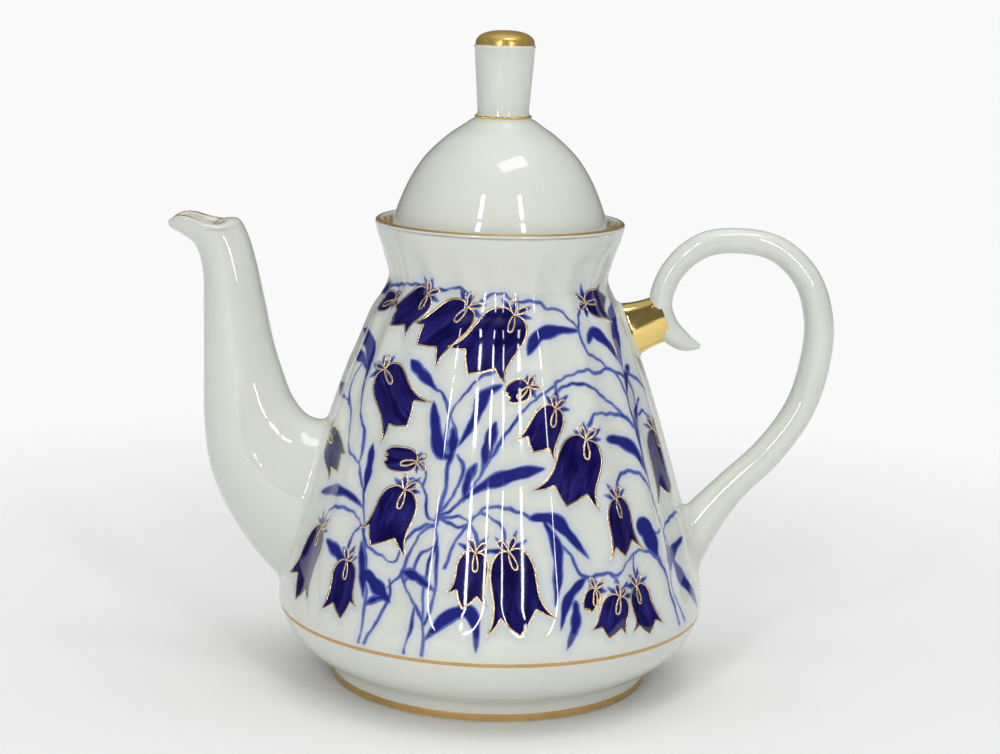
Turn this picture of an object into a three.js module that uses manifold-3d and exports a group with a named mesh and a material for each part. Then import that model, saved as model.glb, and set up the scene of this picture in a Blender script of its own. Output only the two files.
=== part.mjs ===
// A fluted porcelain teapot with a lift-off lid, in millimetres, +Z up.
// The origin is the centre of the foot on the table. The spout points to -X, the
// handle to +X, and the pot stands on z = 0.

import * as THREE from 'three';
import { mergeVertices } from 'three/addons/utils/BufferGeometryUtils.js';
import Module from 'manifold-3d';

const wasm = await Module();
wasm.setup();

// ---------------------------------------------------------------- driving dimensions

const WALL = 3.2;                 // thickness of the cast body wall
const LUTING_GAP = 0.3;           // slip line between pieces that are stuck on before firing

const FOOT_RADIUS = 46.4;
const FOOT_HEIGHT = 6.2;          // up to the faint step under the bowl
const FOOT_RING_WIDTH = 4.2;      // unglazed ring the pot stands on
const FOOT_RECESS = 2.6;          // depth of the hollow inside the foot ring
const FOOT_RECESS_SLOPE = 1;      // how far the hollow's side leans in
const BELLY_RADIUS = 61.9;
const WAIST_RADIUS = 31.3;        // narrowest place, below the flared neck
const RIM_RADIUS = 35.4;
const RIM_HEIGHT = 134;
const RIM_ROUNDING = 0.8;
const MOUTH_RUN_OUT = 1;          // how far the cavity is cut past the rim
const MOUTH_FLARE = 1.5;          // how much the cavity widens over its last part
const FLOOR_HEIGHT = 7.2;         // inside bottom of the pot

const FLUTE_COUNT = 20;
const FLUTE_DEPTH = 0.022;        // fraction of the radius at that height
const FLUTE_START = 27;           // lowest point of the scooped ends
const FLUTE_SCOOP = 7;            // how much higher a scoop begins beside its ridge
const FLUTE_RUN_IN = 9;           // height over which a flute reaches its depth
const FLUTE_END = 131;            // flutes die away under the rim
const FLUTE_RUN_OUT = 9;
const RIDGE_ROUNDING = 0.16;      // softness of the ridges between flutes

const SPOUT_WALL = 2.4;
const SPOUT_SHOULDER = 2.8;       // extra wall at the lip, on the side towards the pot
const SPOUT_BORE_RUN_OUT = 1.5;   // how far the bore is cut past the lip
const SPOUT_LIP_WAVE = 3.4;       // rise and dip of the pouring lip
const SPOUT_BEAK = 0.42;          // how much the lip narrows towards its pouring end
const SPOUT_LIP_START = 0.72;     // part of the spout's length where the lip begins

const STRAINER_HOLE_RADIUS = 2;
const STRAINER_PITCH = 7.5;
const STRAINER_HEIGHT = 53;
const STRAINER_DEPTH = 8;         // from the belly's radius in to the middle of the drilled holes
const STRAINER_DRILL_LENGTH = 24;
const STRAINER_OUTER_HOLES = 6;

const HANDLE_BREADTH = 1.08;      // breadth of the handle's section over its thickness

const LID_RADIUS = 31;            // widest ring of the dome
const LID_WALL = 3;
const LID_EQUATOR_HEIGHT = 129.9; // widest ring of the seated lid, 0.3 mm clear of the flared neck
const LID_EDGE_RADIUS = 5;        // rounding under the dome
const LID_EDGE_START = -22;       // degrees, where that rounding begins
const LID_HOLLOW_START = 9;       // height above the widest ring where the hollow follows the dome
const COLLAR_TOP_RADIUS = 24.6;
const COLLAR_BOTTOM_RADIUS = 23.2;
const COLLAR_DEPTH = 25.5;        // from the widest ring down to the collar's lower end
const COLLAR_WALL = 2.6;
const COLLAR_CHAMFER = 0.8;
const COLLAR_SHOULDER = 0.9;      // from the dome's edge down to the top of the collar
const VENT_RADIUS = 1.6;
const VENT_TILT = 57;             // degrees above the horizon, at the back of the dome

const KNOB_BASE_RADIUS = 7.4;
const KNOB_TOP_RADIUS = 8.7;
const KNOB_HEIGHT = 52.2;         // top of the cone above the lid's widest ring
const KNOB_CAP_HEIGHT = 4.4;
const KNOB_BASE_ROUNDING = 0.5;
const KNOB_TOP_ROUNDING = 0.5;

// Sides round each turned or bent piece, and rows along its length.
const BODY_SIDES = 4 * FLUTE_COUNT;
const BODY_ROWS = 20;
const CAVITY_ROWS = 13;
const SPOUT_SIDES = 24;
const SPOUT_ROWS = 20;
const HANDLE_SIDES = 14;
const HANDLE_ROWS = 40;
const BRIDGE_SIDES = 28;
const BRIDGE_ROWS = 8;
const LID_SIDES = 48;
const KNOB_SIDES = 32;
const CAP_ROWS = 6;
const HOLE_SIDES = 12;

// ---------------------------------------------------------------- profiles, as [radius, height]

const BODY_PROFILE = [
  [FOOT_RADIUS + 0.3, FOOT_HEIGHT], [51.7, 8.4], [58.2, 14.2], [61.6, 21.5], [BELLY_RADIUS, 28], [59.4, 40],
  [53.6, 58.7], [49, 73.6], [43.5, 90], [40.2, 98], [36.3, 107.7], [33.2, 112.6],
  [WAIST_RADIUS, 117.5], [32.2, 122], [34.4, 129], [RIM_RADIUS, 133],
];

const CAVITY_PROFILE = [
  [0, FLOOR_HEIGHT], [34, FLOOR_HEIGHT + 0.6], [47, 10.6], [54.4, 15.8], [58.2, 22.5],
  [58.4, 28.5], [56, 40], [50.2, 58.7], [45.6, 73.6], [40.2, 90], [32.9, 107.7],
  [28.3, 117.5], [29.1, 122], [31.4, 129], [33.3, 133],
];

// Each spout station is [x, z] on the under side, [x, z] on the upper side, then half breadth.
const SPOUT_STATIONS = [
  [[-54, 20.7], [-34, 69.2], 17],
  [[-65.8, 31.6], [-47, 73.9], 16],
  [[-75.4, 44.5], [-53.7, 75.5], 14],
  [[-82, 59.2], [-58.2, 80.6], 11.8],
  [[-84, 73], [-61, 87.5], 10.4],
  [[-84.1, 90], [-63.8, 96.4], 9.6],
  [[-84.1, 107], [-66.3, 107.9], 8.9],
  [[-84.4, 118.6], [-69.1, 120.3], 8.4],
  [[-86.7, 125.2], [-71.2, 127.2], 8.3],
  [[-91.3, 128.4], [-72.8, 130.7], 8.6],
  [[-93.5, 129.5], [-73.6, 131.8], 8.8],
  [[-94.2, 130.8], [-74.4, 132.4], 8.8],
];

// Each handle station is [x, z] on its centre line, then half thickness.
const HANDLE_STATIONS = [
  [58.2, 98.8, 0.9], [53.6, 100.1, 2.8], [48.4, 104.6, 3.6], [46.5, 111.2, 3.5],
  [49.6, 120.6, 3.5], [57.6, 127.8, 3.7], [68.2, 129.5, 3.7], [79, 127.3, 3.8],
  [87.8, 119.3, 4], [92, 107.2, 4.3], [91.6, 94.6, 4.5], [88, 81.3, 4.5],
  [79.7, 68.3, 4.6], [69, 57.1, 4.9], [60, 45.5, 6.4], [52, 31.3, 8],
];

// The gilded bridge runs from the body to the scroll. Its profile is [radius, distance].
const BRIDGE_START = [35.6, 102.4];
const BRIDGE_END = [47.8, 107.1];
const BRIDGE_PROFILE = [[8.9, 0], [7.8, 3.2], [7.1, 6.4], [6.8, 9], [6.9, 12.5]];
const BRIDGE_BREADTH = 0.6;       // breadth of the bridge over its height

// The dome's outside, as [radius, height above the widest ring], from its top down. The knob
// stands on the first stretch.
const LID_PROFILE = [
  [0, 33.8], [KNOB_BASE_RADIUS, 32.6], [11.2, 30.4], [16, 27], [21.4, 21.8], [25.2, 16.2],
  [27.8, 10.8], [29.9, 5.2], [LID_RADIUS, 0],
];

// ---------------------------------------------------------------- solids

const PORCELAIN = new THREE.MeshStandardMaterial({ color: 0xeff0ea, roughness: 0.12, metalness: 0 });
const GILDING = new THREE.MeshStandardMaterial({ color: 0xc9a24a, roughness: 0.15, metalness: 1 });

// Makes a manifold solid from a closed geometry, facing outwards.
function solidFrom(geometry) {
  const bare = geometry.index ? geometry.clone() : geometry.toNonIndexed();
  bare.deleteAttribute('normal');
  bare.deleteAttribute('uv');
  const merged = mergeVertices(bare, 1e-4);
  const corners = merged.index.array;
  const kept = [];
  for (let i = 0; i < corners.length; i += 3) {
    const [a, b, c] = [corners[i], corners[i + 1], corners[i + 2]];
    if (a !== b && b !== c && c !== a) kept.push(a, b, c);
  }
  const vertProperties = new Float32Array(merged.attributes.position.array);
  if (signedVolume(vertProperties, kept) < 0) kept.reverse();
  const mesh = new wasm.Mesh({ numProp: 3, vertProperties, triVerts: new Uint32Array(kept) });
  return new wasm.Manifold(mesh);
}

function signedVolume(vertices, corners) {
  const [a, b, c] = [new THREE.Vector3(), new THREE.Vector3(), new THREE.Vector3()];
  let volume = 0;
  for (let i = 0; i < corners.length; i += 3) {
    a.fromArray(vertices, 3 * corners[i]);
    b.fromArray(vertices, 3 * corners[i + 1]);
    c.fromArray(vertices, 3 * corners[i + 2]);
    volume += a.dot(b.cross(c)) / 6;
  }
  return volume;
}

function namedMesh(name, solid, material) {
  const { vertProperties, triVerts } = solid.getMesh();
  const geometry = new THREE.BufferGeometry();
  geometry.setAttribute('position', new THREE.BufferAttribute(new Float32Array(vertProperties), 3));
  geometry.setIndex(new THREE.BufferAttribute(new Uint32Array(triVerts), 1));
  geometry.computeVertexNormals();
  const mesh = new THREE.Mesh(geometry, material);
  mesh.name = name;
  return mesh;
}

// Samples a smooth curve through [radius, height] points.
function smoothProfile(points, divisions) {
  return new THREE.SplineCurve(points.map(([r, z]) => new THREE.Vector2(r, z))).getPoints(divisions);
}

function arc(centre, radius, fromDegrees, toDegrees, divisions) {
  const points = [];
  for (let i = 0; i <= divisions; i++) {
    const angle = THREE.MathUtils.degToRad(fromDegrees + (toDegrees - fromDegrees) * i / divisions);
    points.push(new THREE.Vector2(centre.x + radius * Math.cos(angle), centre.y + radius * Math.sin(angle)));
  }
  return points;
}

function latheAboutZ(points, sides) {
  return new THREE.LatheGeometry(points, sides).rotateX(Math.PI / 2);
}

function cylinderAlong(radius, length, direction, centre) {
  const geometry = new THREE.CylinderGeometry(radius, radius, length, HOLE_SIDES);
  const turn = new THREE.Quaternion().setFromUnitVectors(new THREE.Vector3(0, 1, 0), direction);
  geometry.applyQuaternion(turn);
  geometry.translate(centre.x, centre.y, centre.z);
  return solidFrom(geometry);
}

// Bends a capped cylinder so that its section at t (0 to 1) follows sectionAt(t), which gives
// the section's centre, its half vector in the XZ plane and its half breadth along Y.
function bentTube(sectionAt, sides, rings) {
  const geometry = new THREE.CylinderGeometry(1, 1, 1, sides, rings);
  const position = geometry.attributes.position;
  for (let i = 0; i < position.count; i++) {
    const [u, v] = [position.getX(i), position.getZ(i)];
    const { centre, across, halfBreadth, lift } = sectionAt(position.getY(i) + 0.5, u, v);
    position.setXYZ(
      i,
      centre.x + across.x * u,
      halfBreadth * v,
      centre.z + across.z * u + lift,
    );
  }
  return solidFrom(geometry);
}

// ---------------------------------------------------------------- body

// Depth of the fluting as a fraction of the radius. Flutes are round and meet in soft ridges.
function fluteDepthAt(azimuth, height) {
  const wave = Math.abs(Math.sin(FLUTE_COUNT * azimuth / 2));
  const crest = Math.hypot(1, RIDGE_ROUNDING) - RIDGE_ROUNDING;
  const fromRidge = (Math.hypot(wave, RIDGE_ROUNDING) - RIDGE_ROUNDING) / crest;
  const start = FLUTE_START + FLUTE_SCOOP * (1 - wave);
  const runIn = THREE.MathUtils.smoothstep(height, start, start + FLUTE_RUN_IN);
  const runOut = 1 - THREE.MathUtils.smoothstep(height, FLUTE_END - FLUTE_RUN_OUT, FLUTE_END);
  return FLUTE_DEPTH * fromRidge ** 1.4 * runIn * runOut;
}

// The whole outside of the body as one solid, grown outwards by the given distance.
function bodyEnvelope(grow) {
  const points = [
    new THREE.Vector2(0, 0),
    new THREE.Vector2(FOOT_RADIUS + grow, 0),
    ...smoothProfile(BODY_PROFILE, BODY_ROWS).map((p) => new THREE.Vector2(p.x + grow, p.y)),
    new THREE.Vector2(RIM_RADIUS - RIM_ROUNDING + grow, RIM_HEIGHT),
    new THREE.Vector2(0, RIM_HEIGHT),
  ];
  const geometry = latheAboutZ(points, BODY_SIDES);
  const position = geometry.attributes.position;
  for (let i = 0; i < position.count; i++) {
    const [x, y, z] = [position.getX(i), position.getY(i), position.getZ(i)];
    const scale = 1 - fluteDepthAt(Math.atan2(y, x), z);
    position.setXYZ(i, x * scale, y * scale, z);
  }
  return solidFrom(geometry);
}

function bodyCavity() {
  const mouthRadius = CAVITY_PROFILE.at(-1)[0] + MOUTH_FLARE;
  const points = [
    ...smoothProfile(CAVITY_PROFILE, CAVITY_ROWS),
    new THREE.Vector2(mouthRadius, RIM_HEIGHT + MOUTH_RUN_OUT),
    new THREE.Vector2(0, RIM_HEIGHT + MOUTH_RUN_OUT),
  ];
  return solidFrom(latheAboutZ(points, BODY_SIDES));
}

function footRecess() {
  const radius = FOOT_RADIUS - FOOT_RING_WIDTH;
  const points = [
    new THREE.Vector2(0, -FOOT_RECESS),
    new THREE.Vector2(radius, -FOOT_RECESS),
    new THREE.Vector2(radius, 0),
    new THREE.Vector2(radius - FOOT_RECESS_SLOPE, FOOT_RECESS),
    new THREE.Vector2(0, FOOT_RECESS),
  ];
  return solidFrom(latheAboutZ(points, BODY_SIDES));
}

// One hole in the middle and six round it, pierced through the wall behind the spout.
function strainerHoles() {
  const along = new THREE.Vector3(-1, 0, 0);
  const centres = [new THREE.Vector3(STRAINER_DEPTH - BELLY_RADIUS, 0, STRAINER_HEIGHT)];
  for (let i = 0; i < STRAINER_OUTER_HOLES; i++) {
    const angle = (2 * i + 1) * Math.PI / STRAINER_OUTER_HOLES;
    const [y, z] = [STRAINER_PITCH * Math.cos(angle), STRAINER_PITCH * Math.sin(angle)];
    centres.push(centres[0].clone().add(new THREE.Vector3(0, y, z)));
  }
  return centres.map((centre) => (
    cylinderAlong(STRAINER_HOLE_RADIUS, STRAINER_DRILL_LENGTH, along, centre)
  ));
}

function potBody() {
  let solid = bodyEnvelope(0).subtract(bodyCavity()).subtract(footRecess());
  for (const hole of strainerHoles()) solid = solid.subtract(hole);
  return solid;
}

// ---------------------------------------------------------------- spout

// A section of the spout spans its under and upper edges. The inset thins it for the bore, and
// the shoulder draws the bore away from the pot's side at the lip.
function spoutSection(inset, shoulder) {
  const under = SPOUT_STATIONS.map(([[x, z], , half]) => new THREE.Vector3(x, half, z));
  const upper = SPOUT_STATIONS.map(([, [x, z], half]) => new THREE.Vector3(x, half, z));
  const underCurve = new THREE.CatmullRomCurve3(under);
  const upperCurve = new THREE.CatmullRomCurve3(upper);
  return (t, u, v) => {
    const low = underCurve.getPoint(t);
    const high = upperCurve.getPoint(t);
    const across = high.clone().sub(low).setY(0).multiplyScalar(0.5);
    const lip = THREE.MathUtils.smoothstep(t, SPOUT_LIP_START, 1);
    const shift = shoulder * lip / 2;
    const towardsPot = across.clone().normalize();
    across.setLength(across.length() - inset - shift);
    return {
      centre: low.add(high).multiplyScalar(0.5).addScaledVector(towardsPot, -shift),
      across,
      halfBreadth: (upperCurve.getPoint(t).y - inset) * (1 + SPOUT_BEAK * u * lip),
      lift: -SPOUT_LIP_WAVE * v * v * u * lip + (inset > 0 && t === 1 ? SPOUT_BORE_RUN_OUT : 0),
    };
  };
}

function spout(bodyOutside) {
  const outside = bentTube(spoutSection(0, 0), SPOUT_SIDES, SPOUT_ROWS);
  const bore = bentTube(spoutSection(SPOUT_WALL, SPOUT_SHOULDER), SPOUT_SIDES, SPOUT_ROWS);
  return outside.subtract(bore).subtract(bodyOutside);
}

// ---------------------------------------------------------------- handle and its bridge

function handleTube(grow) {
  const points = HANDLE_STATIONS.map(([x, z, half]) => new THREE.Vector3(x, half, z));
  const curve = new THREE.CatmullRomCurve3(points);
  const section = (t) => {
    const centre = curve.getPoint(t);
    const tangent = curve.getTangent(t).setY(0).normalize();
    const half = centre.y + grow;
    return {
      centre,
      across: new THREE.Vector3(tangent.z, 0, -tangent.x).multiplyScalar(half),
      halfBreadth: half * HANDLE_BREADTH,
      lift: 0,
    };
  };
  return bentTube(section, HANDLE_SIDES, HANDLE_ROWS);
}

function handleBridge(bodyOutside) {
  const start = new THREE.Vector3(BRIDGE_START[0], 0, BRIDGE_START[1]);
  const end = new THREE.Vector3(BRIDGE_END[0], 0, BRIDGE_END[1]);
  const points = [
    new THREE.Vector2(0, 0),
    ...smoothProfile(BRIDGE_PROFILE, BRIDGE_ROWS),
    new THREE.Vector2(0, BRIDGE_PROFILE.at(-1)[1]),
  ];
  const geometry = new THREE.LatheGeometry(points, BRIDGE_SIDES);
  const direction = end.clone().sub(start).normalize();
  const turn = new THREE.Quaternion().setFromUnitVectors(new THREE.Vector3(0, 1, 0), direction);
  geometry.applyQuaternion(turn).scale(1, BRIDGE_BREADTH, 1);
  geometry.translate(start.x, start.y, start.z);
  return solidFrom(geometry).subtract(bodyOutside).subtract(handleTube(LUTING_GAP));
}

// ---------------------------------------------------------------- lid

// The dome's outline from its top down, with two rows for each stretch of its profile.
function lidDome() {
  return smoothProfile(LID_PROFILE, 2 * (LID_PROFILE.length - 1));
}

function raised(points, height) {
  return points.map((p) => new THREE.Vector2(p.x, p.y + height));
}

function lidShell() {
  const edge = new THREE.Vector2(LID_RADIUS - LID_EDGE_RADIUS, 0);
  const shrink = (LID_RADIUS - LID_WALL) / LID_RADIUS;
  const hollow = lidDome().map((p) => p.multiplyScalar(shrink)).filter((p) => p.y > LID_HOLLOW_START);
  const points = [
    ...lidDome(),
    ...arc(edge, LID_EDGE_RADIUS, LID_EDGE_START, -90, 3),
    new THREE.Vector2(COLLAR_TOP_RADIUS, -LID_EDGE_RADIUS - COLLAR_SHOULDER),
    new THREE.Vector2(COLLAR_BOTTOM_RADIUS, COLLAR_CHAMFER - COLLAR_DEPTH),
    new THREE.Vector2(COLLAR_BOTTOM_RADIUS - COLLAR_CHAMFER, -COLLAR_DEPTH),
    new THREE.Vector2(COLLAR_BOTTOM_RADIUS - COLLAR_WALL, -COLLAR_DEPTH),
    new THREE.Vector2(COLLAR_TOP_RADIUS - COLLAR_WALL, -LID_EDGE_RADIUS),
    ...hollow.reverse(),
  ];
  const shell = solidFrom(latheAboutZ(raised(points, LID_EQUATOR_HEIGHT), LID_SIDES));
  const tilt = THREE.MathUtils.degToRad(VENT_TILT);
  const ventPlace = new THREE.Vector3(0, Math.cos(tilt), Math.sin(tilt));
  const vent = cylinderAlong(
    VENT_RADIUS,
    4 * LID_WALL,
    ventPlace,
    ventPlace.clone().multiplyScalar(LID_RADIUS).add(new THREE.Vector3(0, 0, LID_EQUATOR_HEIGHT)),
  );
  return shell.subtract(vent);
}

// A cone that widens upwards on the dome's top, with a rounded cap.
function lidKnob() {
  const seat = raised(lidDome().slice(0, 3), LUTING_GAP);
  const points = [
    ...seat,
    new THREE.Vector2(KNOB_BASE_RADIUS - KNOB_BASE_ROUNDING, seat.at(-1).y + 2 * KNOB_BASE_ROUNDING),
    new THREE.Vector2(KNOB_TOP_RADIUS, KNOB_HEIGHT - KNOB_TOP_ROUNDING),
  ];
  for (let i = 0; i <= CAP_ROWS; i++) {
    const angle = i / CAP_ROWS * Math.PI / 2;
    points.push(new THREE.Vector2(
      (KNOB_TOP_RADIUS - KNOB_TOP_ROUNDING) * Math.cos(angle),
      KNOB_HEIGHT + KNOB_CAP_HEIGHT * Math.sin(angle),
    ));
  }
  points.at(-1).x = 0;
  return solidFrom(latheAboutZ(raised(points, LID_EQUATOR_HEIGHT), KNOB_SIDES));
}

// ---------------------------------------------------------------- assembly

const bodyOutside = bodyEnvelope(LUTING_GAP);
const teapot = new THREE.Group();
teapot.add(
  namedMesh('pot_body', potBody(), PORCELAIN),
  namedMesh('spout', spout(bodyOutside), PORCELAIN),
  namedMesh('handle', handleTube(0).subtract(bodyOutside), PORCELAIN),
  namedMesh('handle_bridge', handleBridge(bodyOutside), GILDING),
);

const seatedLid = new THREE.Group();
seatedLid.add(
  namedMesh('lid', lidShell(), PORCELAIN),
  namedMesh('lid_knob', lidKnob(), PORCELAIN),
);
teapot.add(seatedLid);

export default teapot;
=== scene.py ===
import math
import random

import bmesh
import bpy
import numpy as np
from mathutils import Matrix, Vector


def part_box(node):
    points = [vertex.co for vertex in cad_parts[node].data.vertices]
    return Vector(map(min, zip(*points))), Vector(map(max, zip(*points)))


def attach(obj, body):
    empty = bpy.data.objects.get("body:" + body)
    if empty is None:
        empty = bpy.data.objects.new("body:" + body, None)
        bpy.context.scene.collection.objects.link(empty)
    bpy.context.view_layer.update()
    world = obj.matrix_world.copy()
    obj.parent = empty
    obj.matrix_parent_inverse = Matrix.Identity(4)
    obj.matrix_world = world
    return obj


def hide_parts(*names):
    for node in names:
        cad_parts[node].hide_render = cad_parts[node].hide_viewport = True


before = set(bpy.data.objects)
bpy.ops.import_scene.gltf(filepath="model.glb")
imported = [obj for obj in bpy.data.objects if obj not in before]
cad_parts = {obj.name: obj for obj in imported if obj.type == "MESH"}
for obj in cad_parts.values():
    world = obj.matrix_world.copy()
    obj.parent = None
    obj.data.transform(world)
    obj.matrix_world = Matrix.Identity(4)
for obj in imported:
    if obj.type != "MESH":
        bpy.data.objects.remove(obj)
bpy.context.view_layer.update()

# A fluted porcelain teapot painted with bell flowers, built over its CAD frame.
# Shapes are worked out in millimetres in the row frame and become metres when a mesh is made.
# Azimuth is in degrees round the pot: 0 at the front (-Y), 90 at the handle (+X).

MM = 0.001
SEED = 7

# ---- sizes from the frame


def box_mm(node):
    low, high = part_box(node)
    return low / MM, high / MM


POT_HIGH = box_mm("pot_body")[1]
LID_LOW, LID_HIGH = box_mm("lid")
KNOB_LOW, KNOB_HIGH = box_mm("lid_knob")

RIM_HEIGHT = POT_HIGH.z
LID_RADIUS = (LID_HIGH.x - LID_LOW.x) / 2
COLLAR_END = LID_LOW.z
KNOB_RADIUS = (KNOB_HIGH.x - KNOB_LOW.x) / 2
KNOB_TOP = KNOB_HIGH.z

# ---- body shape, [radius, height]

FOOT_HEIGHT = 6.2
FOOT_RADIUS = 46.4
FOOT_RING = 4.2
FOOT_RECESS = 2.6
FLOOR_HEIGHT = 7.2
GOLD_LINE_HEIGHT = 22.0

BODY_PROFILE = [
    (FOOT_RADIUS + 0.3, FOOT_HEIGHT), (51.7, 8.4), (58.2, 14.2), (61.6, 21.5), (61.9, 28), (59.4, 40),
    (53.6, 58.7), (49, 73.6), (43.5, 90), (40.2, 98), (36.3, 107.7), (33.2, 112.6),
    (31.3, 117.5), (32.2, 122), (34.4, 129), (35.4, 133),
]
CAVITY_PROFILE = [
    (0, FLOOR_HEIGHT), (34, FLOOR_HEIGHT + 0.6), (47, 10.6), (54.4, 15.8), (58.2, 22.5),
    (58.4, 28.5), (56, 40), (50.2, 58.7), (45.6, 73.6), (40.2, 90), (32.9, 107.7),
    (28.3, 117.5), (29.1, 122), (31.4, 129), (33.3, 133),
]

FLUTE_COUNT = 20
FLUTE_DEPTH = 0.022
FLUTE_START = 27.0
FLUTE_SCOOP = 7.0
FLUTE_RUN_IN = 9.0
FLUTE_END = 131.0
FLUTE_RUN_OUT = 9.0
RIDGE_ROUNDING = 0.16

BODY_COLUMNS = 500
BODY_ROWS = 176
CAVITY_ROWS = 26

# The rounded crest of the rim, as seen in a section.
CREST_CENTRE = (34.35, RIM_HEIGHT - 1.05)
CREST_RADIUS = 1.05
CAVITY_TOP = 132.6

# The strainer's pins run along X between the two ends of STRAINER_REACH.
STRAINER_HOLE_RADIUS = 2.0
STRAINER_PITCH = 7.5
STRAINER_HEIGHT = 53.0
STRAINER_REACH = (-66.0, -40.0)

# ---- spout and handle stations

# Under edge (x, z), upper edge (x, z), half breadth.
SPOUT_STATIONS = [
    ((-54, 20.7), (-34, 69.2), 17), ((-65.8, 31.6), (-47, 73.9), 16), ((-75.4, 44.5), (-53.7, 75.5), 14),
    ((-82, 59.2), (-58.2, 80.6), 11.8), ((-84, 73), (-61, 87.5), 10.4), ((-84.1, 90), (-63.8, 96.4), 9.6),
    ((-84.1, 107), (-66.3, 107.9), 8.9), ((-84.4, 118.6), (-69.1, 120.3), 8.4),
    ((-86.7, 125.2), (-71.2, 127.2), 8.3), ((-91.3, 128.4), (-72.8, 130.7), 8.6),
    ((-93.5, 129.5), (-73.6, 131.8), 8.8), ((-94.2, 130.8), (-74.4, 132.4), 8.8),
]
SPOUT_WALL = 2.4
SPOUT_LIP_WAVE = 3.4
SPOUT_BEAK = 0.42
SPOUT_LIP_START = 0.72
SPOUT_SHOULDER = 2.8
SPOUT_FILLET = 2.6

# Centre line x, half thickness, z.
HANDLE_STATIONS = [
    (58.2, 0.9, 98.8), (53.6, 2.8, 100.1), (48.4, 3.6, 104.6), (46.5, 3.5, 111.2), (49.6, 3.5, 120.6),
    (57.6, 3.7, 127.8), (68.2, 3.7, 129.5), (79, 3.8, 127.3), (87.8, 4, 119.3), (92, 4.3, 107.2),
    (91.6, 4.5, 94.6), (88, 4.5, 81.3), (79.7, 4.6, 68.3), (69, 4.9, 57.1), (60, 6.4, 45.5),
    (52, 8, 31.3),
]
HANDLE_BREADTH = 1.08
HANDLE_FILLET = 3.0
GLAZE_SHRINK = 0.12

BRIDGE_START = (35.6, 102.4)
BRIDGE_END = (47.8, 107.1)
BRIDGE_HALF_HEIGHTS = [8.9, 7.8, 7.1, 6.8, 6.9]
BRIDGE_BREADTH = 0.6
BRIDGE_FILLET = 1.6

# ---- lid and knob

# The dome's outside, [radius, height above the widest ring], from its top down.
LID_PROFILE = [
    (0, 33.8), (7.4, 32.6), (11.2, 30.4), (16, 27), (21.4, 21.8), (25.2, 16.2), (27.8, 10.8),
    (29.9, 5.2), (LID_RADIUS, 0),
]
LID_EQUATOR = LID_HIGH.z - LID_PROFILE[0][1]
LID_WALL = 3.0
LID_EDGE_RADIUS = 5.0
HOLLOW_START = 9.0
VENT_RADIUS = 1.6
VENT_TILT = 57
COLLAR_LIP = 1.0
KNOB_SEAT = LID_EQUATOR + LID_PROFILE[1][1]
CAP_HEIGHT = 4.4

# ---- painting, on the front half

# Each bell: bow (azimuth, height), its three hem tips from one side to the other, and its width.
BELLS = [
    ((-38.5, 116.0), [(-60.5, 111.6), (-54.5, 106.5), (-44.0, 104.5)], 9.5),
    ((-15.5, 113.7), [(-41.5, 108.5), (-35.5, 103.2), (-25.5, 97.6)], 11.5),
    ((7.0, 112.2), [(-21.5, 103.5), (-12.0, 96.6), (2.5, 94.6)], 13.5),
    ((48.5, 114.0), [(63.5, 107.8), (69.0, 114.2), (66.0, 118.2)], 8.4),
    ((-49.5, 95.1), [(-41.5, 76.2), (-32.0, 82.0), (-23.5, 88.8)], 12.6),
    ((-74.5, 74.2), [(-64.5, 62.0), (-60.0, 65.5), (-56.5, 71.2)], 9.0),
    ((-29.0, 65.5), [(-42.8, 53.2), (-36.5, 50.0), (-25.5, 48.2)], 12.0),
    ((-60.0, 49.6), [(-72.0, 33.8), (-63.2, 28.6), (-56.0, 30.0)], 11.0),
    ((-44.7, 44.0), [(-50.0, 29.6), (-42.2, 28.8), (-37.2, 33.4)], 9.6),
    ((21.0, 88.3), [(5.5, 80.2), (12.0, 77.0), (19.0, 74.8)], 8.8),
    ((31.5, 79.6), [(11.2, 67.2), (21.8, 62.8), (33.0, 60.6)], 13.6),
    ((40.0, 63.2), [(33.6, 47.4), (39.8, 48.0), (48.4, 48.4)], 9.7),
    ((70.5, 77.8), [(61.2, 58.2), (70.0, 59.6), (79.4, 58.8)], 12.5),
    ((-5.3, 51.3), [(-12.6, 40.4), (-8.0, 36.8), (-1.6, 37.8)], 8.6),
    ((4.0, 51.9), [(-1.6, 29.8), (7.2, 30.2), (16.8, 34.2)], 12.6),
    ((35.2, 38.3), [(26.2, 30.4), (31.0, 27.6), (36.6, 27.4)], 8.8),
    ((42.6, 39.6), [(38.4, 27.8), (44.5, 26.2), (50.8, 28.0)], 8.8),
]
# Each bud: bow, tip and width.
BUDS = [
    ((-63.5, 112.5), (-77.0, 110.8), 6.6), ((11.5, 94.0), (3.0, 91.5), 6.4),
    ((-26.5, 73.2), (-38.8, 73.4), 7.0), ((28.5, 40.8), (25.5, 35.2), 4.8),
]

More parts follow.
